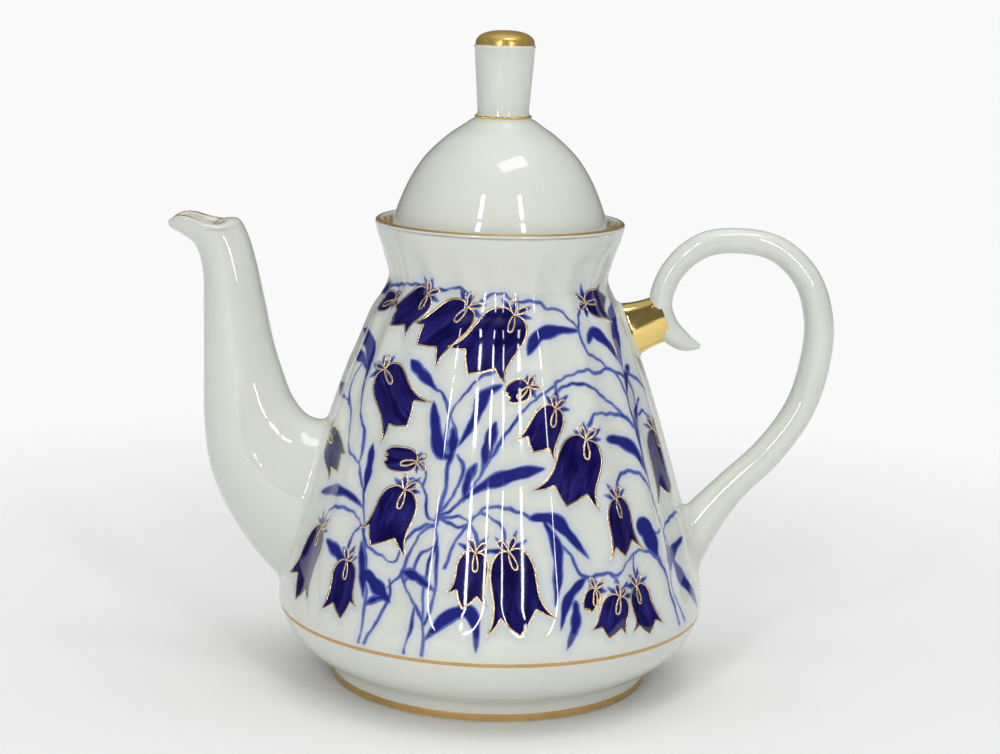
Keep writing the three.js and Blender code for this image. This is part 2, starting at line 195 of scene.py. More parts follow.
# Stems are thin strokes through (azimuth, height) points.
STEMS = [
    [(-70, 116), (-62, 117), (-52, 117.8), (-42, 118)],
    [(-60.5, 93), (-58.5, 88), (-55, 83), (-52, 80), (-50, 77), (-49, 73), (-49.5, 70)],
    [(-67, 94), (-69, 90), (-68, 86), (-62, 80), (-57, 73.5), (-50, 70), (-47, 66), (-44.5, 62)],
    [(-74, 84.5), (-70, 84.7), (-66, 83.5)],
    [(-44.5, 62), (-42, 57), (-40, 52), (-37.5, 47), (-36, 43)],
    [(-58.5, 51.5), (-58, 55), (-54, 57), (-49, 57.2), (-44, 55.5), (-41, 53)],
    [(-45.5, 47), (-45, 51), (-42, 54)],
    [(-41, 53), (-38, 50), (-33, 48), (-28.5, 46.5), (-27, 51), (-24, 55), (-20, 57.5), (-17, 58)],
    [(-36, 43), (-35, 38), (-34.7, 31), (-35.5, 24)],
    [(-29, 42), (-28.5, 37), (-31, 30), (-34, 24)],
    [(-32, 117.5), (-27, 117.8), (-21, 118.6), (-15, 116.5)],
    [(-10, 114.5), (-5, 117), (1, 117.6), (8, 115.5), (14, 115.6), (20, 115.2), (24, 113.4), (30, 113),
     (34, 110.5), (37, 108)],
    [(-24, 92.5), (-20, 91), (-17, 87), (-14.5, 83), (-13, 79.5)],
    [(-1, 98), (-6, 96.5), (-12, 92), (-16.5, 86), (-17, 81), (-15.5, 75), (-15.5, 67), (-17, 58)],
    [(22, 94), (15, 91.5), (9, 87.5), (3, 82), (-1, 77), (-5, 71), (-9, 66)],
    [(-12.5, 76), (-10.7, 73), (-11.2, 69), (-13.8, 64.5), (-17, 60)],
    [(-24.5, 73), (-22.3, 70), (-23, 67)],
    [(-29, 68), (-25, 68.5), (-21.5, 65), (-20, 60), (-17, 58.5)],
    [(-10, 64.5), (-13, 62), (-17, 59.5), (-11, 60.2), (-7, 58.5), (-4.5, 53)],
    [(-17, 60), (-10, 57.5), (-6, 60.5), (-2, 63.2), (4, 62.8), (11, 60.3)],
    [(-4, 61.7), (0, 60), (2.3, 57.5), (3, 54)],
    [(-17, 58), (-16.4, 53), (-18, 47), (-18.3, 38), (-17.5, 30), (-17.5, 23.5)],
    [(-16.4, 53), (-15.5, 46), (-15.7, 38), (-17.5, 32)],
    [(-17, 58), (-21.5, 55), (-24, 50), (-26, 44), (-29, 40)],
    [(-17, 52), (-21, 49.5), (-22.3, 45), (-25, 42)],
    [(-8, 58), (-10.8, 54.5), (-13.5, 47)],
    [(-26, 44), (-22.5, 39), (-19, 35), (-17.5, 32)],
    [(-20.3, 36), (-21, 30), (-22.5, 23.6)],
    [(18, 54), (22, 50), (24, 45.5), (27, 44), (32, 44.7), (36, 44), (40, 46.5), (46, 48.5),
     (51, 46.5), (54.5, 41), (55.5, 34), (58.5, 25.5)],
    [(33, 44.5), (35, 42.5), (35.4, 39)],
    [(43.5, 47.5), (42.5, 44), (42.6, 40)],
    [(37, 108), (37, 105), (40, 101.5), (45, 99.5), (50, 96.6), (58, 93.8)],
    [(37, 108.5), (40, 111), (44, 113)],
    [(22, 94.5), (29, 96.3), (37, 97.4), (42, 96), (50, 96.6), (53.5, 93), (55.5, 88)],
    [(22, 92.5), (28, 94), (35, 93.6), (42, 90.2), (49, 85.8), (55, 80.5)],
    [(33, 83), (36.5, 86), (42, 85.4), (48, 84.7), (52, 83.5)],
    [(61, 97), (57, 92), (55.3, 87), (56, 79), (56.6, 70), (57, 61), (59.5, 53), (62.5, 45)],
    [(60.5, 94), (66, 93), (71, 90), (74, 86)],
    [(60.5, 93.5), (62.8, 89), (61, 84.5), (57.8, 80), (57, 72)],
    [(65.5, 87), (61.5, 83), (66, 83.4), (70, 81)],
    [(40.5, 64), (42, 67.8), (46.5, 69.5), (51.5, 68.6), (55.5, 65), (57, 61)],
    [(52.5, 52), (57, 52)], [(52.4, 46.5), (54.3, 42), (55.3, 36)],
    [(60, 51.3), (65, 53), (71, 54.2), (76, 52.5)],
    [(59.5, 51), (59.3, 45), (57.2, 38), (57.5, 34), (60, 29), (61.8, 25.5)],
]

# Leaves are tapered strokes: greatest width, then (azimuth, height) points.
LEAVES = [
    (3.2, [(-88, 112.5), (-80, 115), (-70, 116)]),
    (4.6, [(-86, 102), (-74, 101.7), (-66, 99.5), (-61, 95), (-60, 91)]),
    (3.0, [(-78, 95.4), (-70, 96.2), (-61, 93.5)]),
    (3.6, [(-88, 86), (-80, 84.8), (-72, 84.8)]),
    (2.8, [(-45.5, 75.5), (-44.6, 69), (-44.3, 62)]),
    (3.0, [(-67, 58.2), (-60, 60.4), (-52, 61.4), (-43, 58.5)]),
    (3.0, [(-54, 48), (-49, 45.5), (-46, 43)]), (2.8, [(-40.5, 50), (-37.5, 43), (-35.5, 36)]),
    (3.6, [(-36.5, 43.5), (-32, 39.5), (-28, 36)]), (1.8, [(-35, 34.5), (-32, 36.5), (-28.5, 37.5)]),
    (3.0, [(-36.5, 99), (-31, 96), (-23, 92)]), (3.6, [(12, 102), (17, 107), (27, 108), (37.5, 107.5)]),
    (3.2, [(1.5, 94.5), (-5, 91.5), (-8, 85), (-13, 78)]), (3.2, [(-0.5, 85), (-2.8, 79), (-4.2, 72.5)]),
    (3.8, [(-23.5, 89), (-21, 82), (-18, 76), (-14, 76)]), (2.4, [(-15, 83), (-14.6, 78), (-15.3, 73)]),
    (2.4, [(-6.5, 74), (-8.8, 69.5), (-9.7, 64)]), (3.8, [(15.5, 73), (6, 71.6), (-2, 69.5), (-11, 64)]),
    (3.6, [(10, 60.2), (17, 60), (22, 55.5), (27.5, 49)]),
    (3.0, [(14, 60), (17.6, 53), (17.3, 45), (16.2, 38)]),
    (2.8, [(26, 44), (20, 39.5), (17.4, 31.5)]), (3.0, [(22, 38.5), (21.6, 33), (19, 26)]),
    (2.8, [(-26, 44.6), (-21, 44), (-15.5, 41)]),
    (3.8, [(-17, 28), (-12, 34), (-6.5, 36.2), (-4.2, 32), (-4, 26)]),
    (3.2, [(41, 104), (46, 106.6), (52, 103.5), (59.5, 96.5)]),
    (4.4, [(60.5, 97), (61.8, 103), (66, 109), (72.5, 112.5)]), (2.6, [(66, 96), (61, 94), (56.5, 90)]),
    (3.6, [(40, 79), (47, 77.6), (53, 74), (57, 66.5)]), (2.6, [(63, 85.5), (58.5, 82), (56.7, 74)]),
    (5.6, [(48.5, 56), (50.8, 52), (52.5, 45.5)]), (3.4, [(58, 40.8), (63, 44.5), (71, 47.2)]),
    (3.8, [(62.5, 42.5), (66, 36), (73, 26.5)]), (1.6, [(61, 47), (57.5, 43)]),
]

STEM_WIDTH = 0.72
STEM_WOBBLE = 0.16
GOLD_STROKE = 0.56
# How far the gold stands up: strokes on the flowers, and bands and frieze.
STROKE_RELIEF = 0.08
BAND_RELIEF = 0.05
FRIEZE_SPRIGS = 15
FRIEZE_TURN = 7
FRIEZE_DROP = 3.0
FRIEZE_ROOT = (0.6, 0.2)
# The two open leaves of one sprig: direction in degrees, length, width.
FRIEZE_OPEN_LEAVES = [(212, 7.6, 3.4), (292, 4.6, 2.2)]
# The small filled leaves of one sprig: base (x, y), direction in degrees, length, width.
FRIEZE_LEAVES = [
    (0.6, 0.2, 243, 4.8, 1.2), (0.6, 0.2, 268, 4.6, 1.1), (0.2, 0.6, 182, 4.2, 1.6),
    (-1.2, 1.0, 165, 2.6, 1.2), (-3.0, 0.9, 200, 2.6, 1.3), (1.8, 0.8, 340, 3.4, 1.4),
    (3.2, 1.3, 312, 3.4, 1.6), (4.8, 1.4, 292, 3.0, 1.4), (3.4, 1.4, 30, 2.4, 1.1),
    (5.6, 1.3, 12, 2.6, 1.2), (6.4, 1.0, 318, 2.8, 1.3),
]

# ---- curves


def uniform_spline(points, count):
    """Samples a Catmull-Rom curve with even parameters and repeated end points."""
    points = np.array(points, float)
    last = len(points) - 1
    t = np.linspace(0, last, count)
    i = np.minimum(t.astype(int), last - 1)
    s = (t - i)[:, None]
    before, here = points[np.maximum(i - 1, 0)], points[i]
    after, beyond = points[i + 1], points[np.minimum(i + 2, last)]
    rise, fall = (after - before) / 2, (beyond - here) / 2
    cubic = (2 * here - 2 * after + rise + fall) * s**3
    square = (-3 * here + 3 * after - 2 * rise - fall) * s**2
    return cubic + square + rise * s + here


class StationCurve:
    """A centripetal Catmull-Rom curve through stations, read at parameters from 0 to 1."""

    def __init__(self, stations):
        stations = np.array(stations, float)
        head = 2 * stations[0] - stations[1]
        tail = 2 * stations[-1] - stations[-2]
        self.points = np.vstack([head, stations, tail])
        self.spans = len(stations) - 1

    def at(self, t):
        t = np.clip(np.asarray(t, float), 0, 1) * self.spans
        i = np.minimum(t.astype(int), self.spans - 1)
        s = (t - i)[..., None]
        a, b, c, d = (self.points[i + k] for k in range(4))
        first, middle, final = (self._gap(p, q) for p, q in ((a, b), (b, c), (c, d)))
        rise = (b - a) / first - (c - a) / (first + middle) + (c - b) / middle
        fall = (c - b) / middle - (d - b) / (middle + final) + (d - c) / final
        rise, fall = rise * middle, fall * middle
        cubic = (2 * b - 2 * c + rise + fall) * s**3
        square = (-3 * b + 3 * c - 2 * rise - fall) * s**2
        return cubic + square + rise * s + b

    @staticmethod
    def _gap(p, q):
        return np.linalg.norm(q - p, axis=-1, keepdims=True) ** 0.5


def run_along(line):
    """Distance along a flat polyline at each of its points."""
    return np.concatenate([[0], np.cumsum(np.hypot(*np.diff(line, axis=0).T))])


def full_turn(count):
    """Evenly spaced angles once round, in radians."""
    return np.linspace(0, 2 * math.pi, count, endpoint=False)


def smoothstep(x, low, high):
    s = np.clip((x - low) / (high - low), 0, 1)
    return s * s * (3 - 2 * s)


# ---- the body's surface

BODY_LINE = uniform_spline(BODY_PROFILE, 1500)
BODY_LINE[:, 0] *= POT_HIGH.x / BODY_LINE[:, 0].max()
CAVITY_LINE = uniform_spline(CAVITY_PROFILE, 1500)
BODY_ARC = run_along(BODY_LINE)


def outer_radius(height):
    return np.interp(height, BODY_LINE[:, 1], BODY_LINE[:, 0])


def inner_radius(height):
    return np.interp(height, CAVITY_LINE[:, 1], CAVITY_LINE[:, 0])


def arc_at(height):
    """Distance along the body's outline up to a height."""
    return np.interp(height, BODY_LINE[:, 1], BODY_ARC)


def height_at(arc):
    return np.interp(arc, BODY_ARC, BODY_LINE[:, 1])


def fluting(azimuth, height):
    """Depth of the flutes as a fraction of the radius. Flutes are round, and end in scoops."""
    wave = np.abs(np.sin(np.radians(FLUTE_COUNT * azimuth / 2)))
    from_ridge = np.hypot(wave, RIDGE_ROUNDING) - RIDGE_ROUNDING
    from_ridge /= math.hypot(1, RIDGE_ROUNDING) - RIDGE_ROUNDING
    start = FLUTE_START + FLUTE_SCOOP * (1 - wave)
    run_in = smoothstep(height, start, start + FLUTE_RUN_IN)
    run_out = 1 - smoothstep(height, FLUTE_END - FLUTE_RUN_OUT, FLUTE_END)
    return FLUTE_DEPTH * from_ridge**1.4 * run_in * run_out


def around(radius, azimuth, height):
    turn = np.radians(azimuth)
    return np.stack(np.broadcast_arrays(radius * np.sin(turn), -radius * np.cos(turn), height), -1)


def fluted_radius(azimuth, height):
    return outer_radius(height) * (1 - fluting(azimuth, height))


def on_body(azimuth, height, lift=0.0):
    """A point above the fluted outside, lifted along the outline's normal."""
    slope = (outer_radius(height + 0.2) - outer_radius(height - 0.2)) / 0.4
    tilt = np.sqrt(1 + slope**2)
    radius = fluted_radius(azimuth, height) + lift / tilt
    return around(radius, azimuth, height - lift * slope / tilt)


def on_cavity(azimuth, height, lift=0.0):
    """A point above the inside of the neck."""
    slope = (inner_radius(height + 0.2) - inner_radius(height - 0.2)) / 0.4
    tilt = np.sqrt(1 + slope**2)
    return around(inner_radius(height) - lift / tilt, azimuth, height + lift * slope / tilt)


class Patch:
    """Flat millimetre coordinates on the body round an anchor: x along the girth, y up the outline."""

    def __init__(self, azimuth, height):
        self.azimuth = azimuth
        self.arc = arc_at(height)

    def flatten(self, azimuth, height):
        turn = (np.asarray(azimuth) - self.azimuth + 180) % 360 - 180
        return np.stack([np.radians(turn) * outer_radius(height), arc_at(height) - self.arc], -1)

    def place(self, flat, lift=0.0):
        height = height_at(self.arc + flat[..., 1])
        azimuth = self.azimuth + np.degrees(flat[..., 0] / outer_radius(height))
        return on_body(azimuth, height, lift)


class CavityPatch:
    """The same for the inside of the neck, with x to the right as seen from the pot's axis."""

    def __init__(self, azimuth, height):
        self.azimuth = azimuth
        self.height = height

    def place(self, flat, lift=0.0):
        height = self.height + flat[..., 1]
        azimuth = self.azimuth - np.degrees(flat[..., 0] / inner_radius(height))
        return on_cavity(azimuth, height, lift)


# ---- meshes


class Builder:
    """Collects grids of points, in millimetres, into one mesh."""

    def __init__(self):
        self.points = []
        self.faces = []
        self.slots = []
        self.count = 0

    def add_grid(self, grid, closed=True, slot=0):
        """Adds rows of points, joined round each row when closed. slot is one value or one per row."""
        rows, columns = grid.shape[:2]
        index = self.count + np.arange(rows * columns).reshape(rows, columns)
        side = np.roll(index, -1, axis=1) if closed else index[:, 1:]
        base = index if closed else index[:, :-1]
        quads = np.stack([base[:-1], side[:-1], side[1:], base[1:]], -1).reshape(-1, 4)
        row_slots = np.broadcast_to(np.asarray(slot), (rows - 1,))
        self.points.append(grid.reshape(-1, 3))
        self.faces.extend(quads.tolist())
        self.slots.extend(np.repeat(row_slots, base.shape[1]).tolist())
        self.count += rows * columns
        return index

    def add_cap(self, ring_index, centre, slot=0):
        """Closes a ring of points with a fan to one centre point."""
        middle = self.count
        self.points.append(np.array([centre], float))
        self.count += 1
        ring = list(ring_index)
        for a, b in zip(ring, ring[1:] + ring[:1]):
            self.faces.append([a, b, middle])
            self.slots.append(slot)

    def make(self, name, materials):
        mesh = bpy.data.meshes.new(name)
        mesh.from_pydata((np.vstack(self.points) * MM).tolist(), [], self.faces)
        for material in materials:
            mesh.materials.append(material)
        mesh.polygons.foreach_set("material_index", self.slots)
        mesh.polygons.foreach_set("use_smooth", [True] * len(mesh.polygons))
        obj = put_in_scene(name, mesh)
        face_outward(mesh)
        return obj


def put_in_scene(name, data):
    obj = bpy.data.objects.new(name, data)
    bpy.context.scene.collection.objects.link(obj)
    return obj


def vertex_places(mesh):
    """The places of a mesh's vertices, in metres, one row each."""
    places = np.empty(len(mesh.vertices) * 3)
    mesh.vertices.foreach_get("co", places)
    return places.reshape(-1, 3)


def face_outward(mesh):
    edit = bmesh.new()
    edit.from_mesh(mesh)
    bmesh.ops.recalc_face_normals(edit, faces=edit.faces)
    edit.to_mesh(mesh)
    edit.free()
    mesh.update()


def turned(line, columns, radial=None):
    """Turns (radius, height) rows about +Z. radial may change the radius at (azimuth, height)."""
    azimuth = np.linspace(0, 360, columns, endpoint=False)[None, :]
    radius, height = np.array(line, float).T[:, :, None]
    if radial is not None:
        radius = radial(radius, azimuth, height)
    return around(radius, azimuth, np.broadcast_to(height, (len(line), columns)))


def arc_points(centre, radius, start, stop, count):
    angles = np.radians(np.linspace(start, stop, count))
    return [(centre[0] + radius * math.cos(a), centre[1] + radius * math.sin(a)) for a in angles]


def add_lathe(builder, line, columns, radial=None, slot=0):
    """Adds a turned solid whose line starts and ends at the axis, left out of the line itself."""
    index = builder.add_grid(turned(line, columns, radial), slot=slot)
    first, last = (slot, slot) if np.isscalar(slot) else (slot[0], slot[-1])
    builder.add_cap(index[0], (0, 0, line[0][1]), int(first))
    builder.add_cap(index[-1], (0, 0, line[-1][1]), int(last))


def ring_tube(path, radius, columns=10):
    """Rows of a round tube along a closed path of points. radius is one value or one per point."""
    path = np.array(path, float)
    ahead = np.roll(path, -1, axis=0) - np.roll(path, 1, axis=0)
    ahead /= np.linalg.norm(ahead, axis=1, keepdims=True)
    side = np.cross(ahead, (0, 0, 1.0))
    side /= np.maximum(np.linalg.norm(side, axis=1, keepdims=True), 1e-9)
    up = np.cross(side, ahead)
    angle = full_turn(columns)[None, :, None]
    radius = np.broadcast_to(np.asarray(radius, float), (len(path),))[:, None, None]
    rows = path[:, None] + radius * (np.cos(angle) * side[:, None] + np.sin(angle) * up[:, None])
    return np.vstack([rows, rows[:1]])


# ---- strokes of gold


def ribbon(builder, patch, flat, width, lift=STROKE_RELIEF):
    """Lays a raised stroke with a rounded back along a flat path. width is one value or many."""
    flat = np.array(flat, float)
    ahead = np.gradient(flat, axis=0)
    ahead /= np.maximum(np.linalg.norm(ahead, axis=1, keepdims=True), 1e-6)
    side = np.stack([-ahead[:, 1], ahead[:, 0]], -1)
    width = np.broadcast_to(np.asarray(width, float), (len(flat),))
    offsets = np.array([-1, -0.6, 0, 0.6, 1])
    relief = np.array([-0.04, 0.75, 1, 0.75, -0.04]) * lift
    spread = flat[:, None] + side[:, None] * (offsets[None, :, None] * width[:, None, None] / 2)
    builder.add_grid(patch.place(spread, np.broadcast_to(relief, spread.shape[:2])), closed=False)


def tapered(count, width, ends=0.35):
    """Stroke widths that start and finish thinner, as a loaded brush leaves them."""
    t = np.linspace(0, 1, count)
    return width * (ends + (1 - ends) * np.minimum(1, 5 * np.minimum(t, 1 - t)))


def resample(points, step=0.35):
    """Even points along a polyline."""
    points = np.array(points, float)
    run = run_along(points)
    count = max(4, int(run[-1] / step))
    even = np.linspace(0, run[-1], count)
    return np.stack([np.interp(even, run, points[:, k]) for k in range(2)], -1)


def loop_path(length, width, angle, count=26):
    """A tear-shaped loop that starts and ends at the origin and reaches out along angle."""
    t = np.linspace(0, 2 * math.pi, count)
    reach = (1 - np.cos(t)) / 2
    along, across = length * reach, width / 2 * np.sin(t) * (0.35 + 0.65 * reach)
    c, s = math.cos(angle), math.sin(angle)
    return np.stack([along * c - across * s, along * s + across * c], -1)


# ---- flowers


class Flower:
    """A bell or a bud laid flat on the body, with its bow at the origin and its axis down its middle."""

    def __init__(self, bow, tips, width, seed):
        self.patch = Patch(*bow)
        self.random = random.Random(seed)
        self.is_bud = len(tips) == 1
        tips = np.array([self.patch.flatten(*tip) for tip in tips])
        mouth = tips[0] if self.is_bud else (tips[0] + tips[-1]) / 2
        self.length = float(np.hypot(*mouth))
        self.axis = mouth / self.length
        self.across = np.array([self.axis[1], -self.axis[0]])
        self.angle = math.atan2(self.axis[1], self.axis[0])
        self.half = width / 2
        if self.is_bud:
            self.left, self.right, self.hem = self._bud_lines()
        else:
            if tips[0] @ self.across > tips[-1] @ self.across:
                tips = tips[::-1]
            self.left, self.right = self._bell_side(-1, tips[0]), self._bell_side(1, tips[-1])
            self.hem = self._bell_hem(tips)

    def _flat(self, points):
        """(across in half widths, along in lengths) to flat millimetres."""
        points = np.array(points, float)
        return points[:, :1] * self.half * self.across + points[:, 1:] * self.length * self.axis

    def _bud_lines(self):
        side = [(0, 0), (0.5, 0.03), (0.9, 0.2), (1.0, 0.45), (0.86, 0.75), (0.4, 0.98)]
        left, right = (uniform_spline(self._flat([(sign * a, b) for a, b in side]), 40) for sign in (-1, 1))
        hem = self._flat([(-0.22, 0.86), (0.05, 0.98), (0.2, 0.84)])
        return left, right, np.vstack([left[-1:], hem, right[-1:]])

    def _bell_side(self, sign, tip):
        """A shoulder, a straight side, and a flare out to the tip of the hem."""
        rounding = [(0, 0), (0.42, -0.01), (0.80, 0.10), (0.98, 0.27), (1, 0.46)]
        shoulder = self._flat([(across * sign, along) for across, along in rounding])
        waist = self._flat([(1.02 * sign, 0.64)])[0]
        turn = waist + 0.55 * (tip - waist) - 0.035 * self.length * sign * self.across
        return uniform_spline(np.vstack([shoulder, [waist, turn, tip]]), 48)

    def _bell_hem(self, tips):
        """From tip to tip, with a notch and softly bent edges between them."""
        line = [tips[0]]
        for start, end in zip(tips[:-1], tips[1:]):
            depth = 0.22 + self.random.uniform(-0.03, 0.03)
            notch = (start + end) / 2 - depth * self.length * self.axis
            for a, b in ((start, notch), (notch, end)):
                bow = 0.02 * self.length * self.across * (1 if b is notch else -1)
                line += [(a + b) / 2 + bow, b]
        return np.array(line)

    def outline(self):
        return np.vstack([self.left, self.hem[1:-1], self.right[::-1]])

    def gild(self, builder):
        """Gold lines down both sides and along the hem, and a bow of loops at the top."""
        for line in (self.left, self.right, self.hem):
            path = resample(line)
            wander = 0.10 * np.sin(np.linspace(0, self.random.uniform(5, 11), len(path)))[:, None]
            ribbon(builder, self.patch, path + wander, tapered(len(path), GOLD_STROKE))
        self._tie_bow(builder)

    def _tie_bow(self, builder):
        size = 0.75 + 0.25 * min(self.length / 15, 1.15)
        tilt = self.random.uniform(-0.25, 0.25)
        back = self.angle + math.pi
        loops = [(back - 0.62, 3.9, 2.1), (back + 0.58, 3.9, 2.2), (self.angle + 0.2, 5.2, 2.1)]
        for direction, length, width in loops:
            angle = direction + tilt
            path = loop_path(length * size, width * size, angle)
            ribbon(builder, self.patch, path, tapered(len(path), GOLD_STROKE * 0.92), 1.4 * STROKE_RELIEF)

    def sepals(self):
        """Short blue spikes behind the bow, as (patch, flat points, half widths)."""
        back = self.angle + math.pi
        reach = 3.4 if self.is_bud else 5.2
        for turn in (-1.3, -0.5, 0.55, 1.25):
            angle = back + turn + self.random.uniform(-0.15, 0.15)
            length = reach * self.random.uniform(0.75, 1.1)
            tip = np.array([math.cos(angle), math.sin(angle)]) * length
            yield self.patch, np.array([[0, 0], tip * 0.5, tip]), np.array([1.0, 0.8, 0.12])


def mirrored(points):
    """The same points on the far side of the pot, with spout side and handle side kept."""
    return [(180 - azimuth, height) for azimuth, height in points]


def all_flowers():
    flowers = []
    for bow, tips, width in BELLS + [(bow, [tip], width) for bow, tip, width in BUDS]:
        far_bow, *far_tips = mirrored([bow] + tips)
        flowers.append(Flower(bow, tips, width, SEED + len(flowers)))
        flowers.append(Flower(far_bow, far_tips, width, SEED + len(flowers)))
    return flowers


def hand_wobble(flat, phase):
    """Small sideways moves along a path, as a hand makes on a thin stem."""
    run = run_along(flat)
    return STEM_WOBBLE * np.stack([np.sin(0.7 * run + phase), np.sin(1.7 * run + 2 * phase)], -1)


def all_strokes():
    """Every stem and leaf as (patch, flat points, half widths)."""
    strokes = []
    for width, points, is_stem in [(STEM_WIDTH, p, True) for p in STEMS] + [(w, p, False) for w, p in LEAVES]:
        for version in (points, mirrored(points)):
            patch = Patch(*version[len(version) // 2])
            azimuth, height = np.array(version, float).T
            flat = uniform_spline(patch.flatten(azimuth, height), 10 * len(points))
            t = np.linspace(0, 1, len(flat))
            if is_stem:
                half = width / 2 * (0.85 + 0.25 * np.sin(9 * t + len(strokes)))
                flat = flat + hand_wobble(flat, len(strokes))
            else:
                half = width / 2 * np.sin(math.pi * (0.04 + 0.93 * t ** 0.85)) ** 1.15
                half *= 1 + 0.14 * np.sin(17 * t + len(strokes))
            strokes.append((patch, flat, half))
    return strokes


# ---- painted fields on the body


def segment_gaps(points, start, end):
    """Distance from every point to every segment, and how far along the segment it is met."""
    step = end - start
    size = np.maximum((step**2).sum(1), 1e-9)
    along = np.clip(((points[:, None] - start[None]) * step[None]).sum(-1) / size, 0, 1)
    nearest = start[None] + along[..., None] * step[None]
    return np.linalg.norm(points[:, None] - nearest, axis=-1), along


def stroke_depth(points, path, half):
    """How deep each point lies inside a stroke, in mm. Negative outside."""
    gap, along = segment_gaps(points, path[:-1], path[1:])
    width = half[:-1] + along * (half[1:] - half[:-1])
    return (width - gap).max(axis=1)


def outline_depth(points, outline):
    """How deep each point lies inside a closed outline, in mm. Negative outside."""
    start, end = outline, np.roll(outline, -1, axis=0)
    gap = segment_gaps(points, start, end)[0].min(1)
    step = end - start
    x, y = points[:, :1], points[:, 1:]
    crosses = (start[None, :, 1] > y) != (end[None, :, 1] > y)
    safe = np.where(step[:, 1] == 0, 1e-9, step[:, 1])
    at_x = start[None, :, 0] + (y - start[None, :, 1]) * step[None, :, 0] / safe[None]
    inside = (crosses & (x < at_x)).sum(1) % 2 == 1
    return np.where(inside, gap, -gap)


FAR_OUTSIDE = -6.0
MARGIN = 4.0
REFINE_WITHIN = -0.6


def near(patch, flat, azimuth, height):
    """Which body points are close to a flat shape, with their own flat coordinates."""
    points = patch.flatten(azimuth, height)
    low, high = flat.min(0) - MARGIN, flat.max(0) + MARGIN
    chosen = np.flatnonzero(((points > low) & (points < high)).all(1))
    return chosen, points[chosen]


def outside_points(mesh):
    """The index, azimuth and height of the body's vertices that lie on its painted outside."""
    x, y, height = vertex_places(mesh).T / MM
    azimuth = np.degrees(np.arctan2(x, -y))
    outside = (np.hypot(x, y) > fluted_radius(azimuth, height) - 0.8) & (height > FOOT_HEIGHT + 1)
    index = np.flatnonzero(outside)
    return index, azimuth[index], height[index]


def leaf_field(azimuth, height, strokes):
    """How deep each body point lies in the blue strokes."""
    leaf = np.full(len(azimuth), FAR_OUTSIDE)
    for patch, flat, half in strokes:
        chosen, points = near(patch, flat, azimuth, height)
        leaf[chosen] = np.maximum(leaf[chosen], stroke_depth(points, flat, half))
    return leaf


def refine_strokes(mesh, strokes):
    """Splits the faces under the blue strokes in four and sets the new points on the fluted body."""
    index, azimuth, height = outside_points(mesh)
    is_painted = np.zeros(len(mesh.vertices), bool)
    is_painted[index] = leaf_field(azimuth, height, strokes) > REFINE_WITHIN
    edit = bmesh.new()
    edit.from_mesh(mesh)
    edit.verts.ensure_lookup_table()
    faces = [face for face in edit.faces if any(is_painted[v.index] for v in face.verts)]
    edges = list({edge for face in faces for edge in face.edges})
    bmesh.ops.subdivide_edges(edit, edges=edges, cuts=1, use_grid_fill=True)
    edit.to_mesh(mesh)
    edit.free()

    index, azimuth, height = outside_points(mesh)
    index, azimuth, height = (a[index >= len(is_painted)] for a in (index, azimuth, height))
    places = vertex_places(mesh)
    places[index] = around(fluted_radius(azimuth, height), azimuth, height) * MM
    mesh.vertices.foreach_set("co", places.ravel())
    mesh.update()


def paint_fields(mesh, flowers, strokes):
    """Stores how deep each body point lies in the blue strokes and in the dark bells."""
    index, azimuth, height = outside_points(mesh)
    leaf = leaf_field(azimuth, height, strokes)
    bell = np.full(len(index), FAR_OUTSIDE)
    flow = np.zeros((len(index), 3))
    for number, flower in enumerate(flowers):
        outline = flower.outline()
        chosen, points = near(flower.patch, outline, azimuth, height)
        depth = outline_depth(points, outline)
        deeper = depth > bell[chosen]
        bell[chosen] = np.maximum(bell[chosen], depth)
        taken = chosen[deeper]
        across = points @ flower.across
        along = points @ flower.axis
        flow[taken] = np.stack([across, along, np.full(len(points), 7.0 * number)], -1)[deeper]

    for name, values in (("leaf_depth", leaf), ("bell_depth", bell)):
        full = np.full(len(mesh.vertices), FAR_OUTSIDE, np.float32)
        full[index] = values
        mesh.attributes.new(name, "FLOAT", "POINT").data.foreach_set("value", full)
    full = np.zeros((len(mesh.vertices), 3), np.float32)
    full[index] = flow
    mesh.attributes.new("bell_flow", "FLOAT_VECTOR", "POINT").data.foreach_set("vector", full.ravel())


# ---- materials


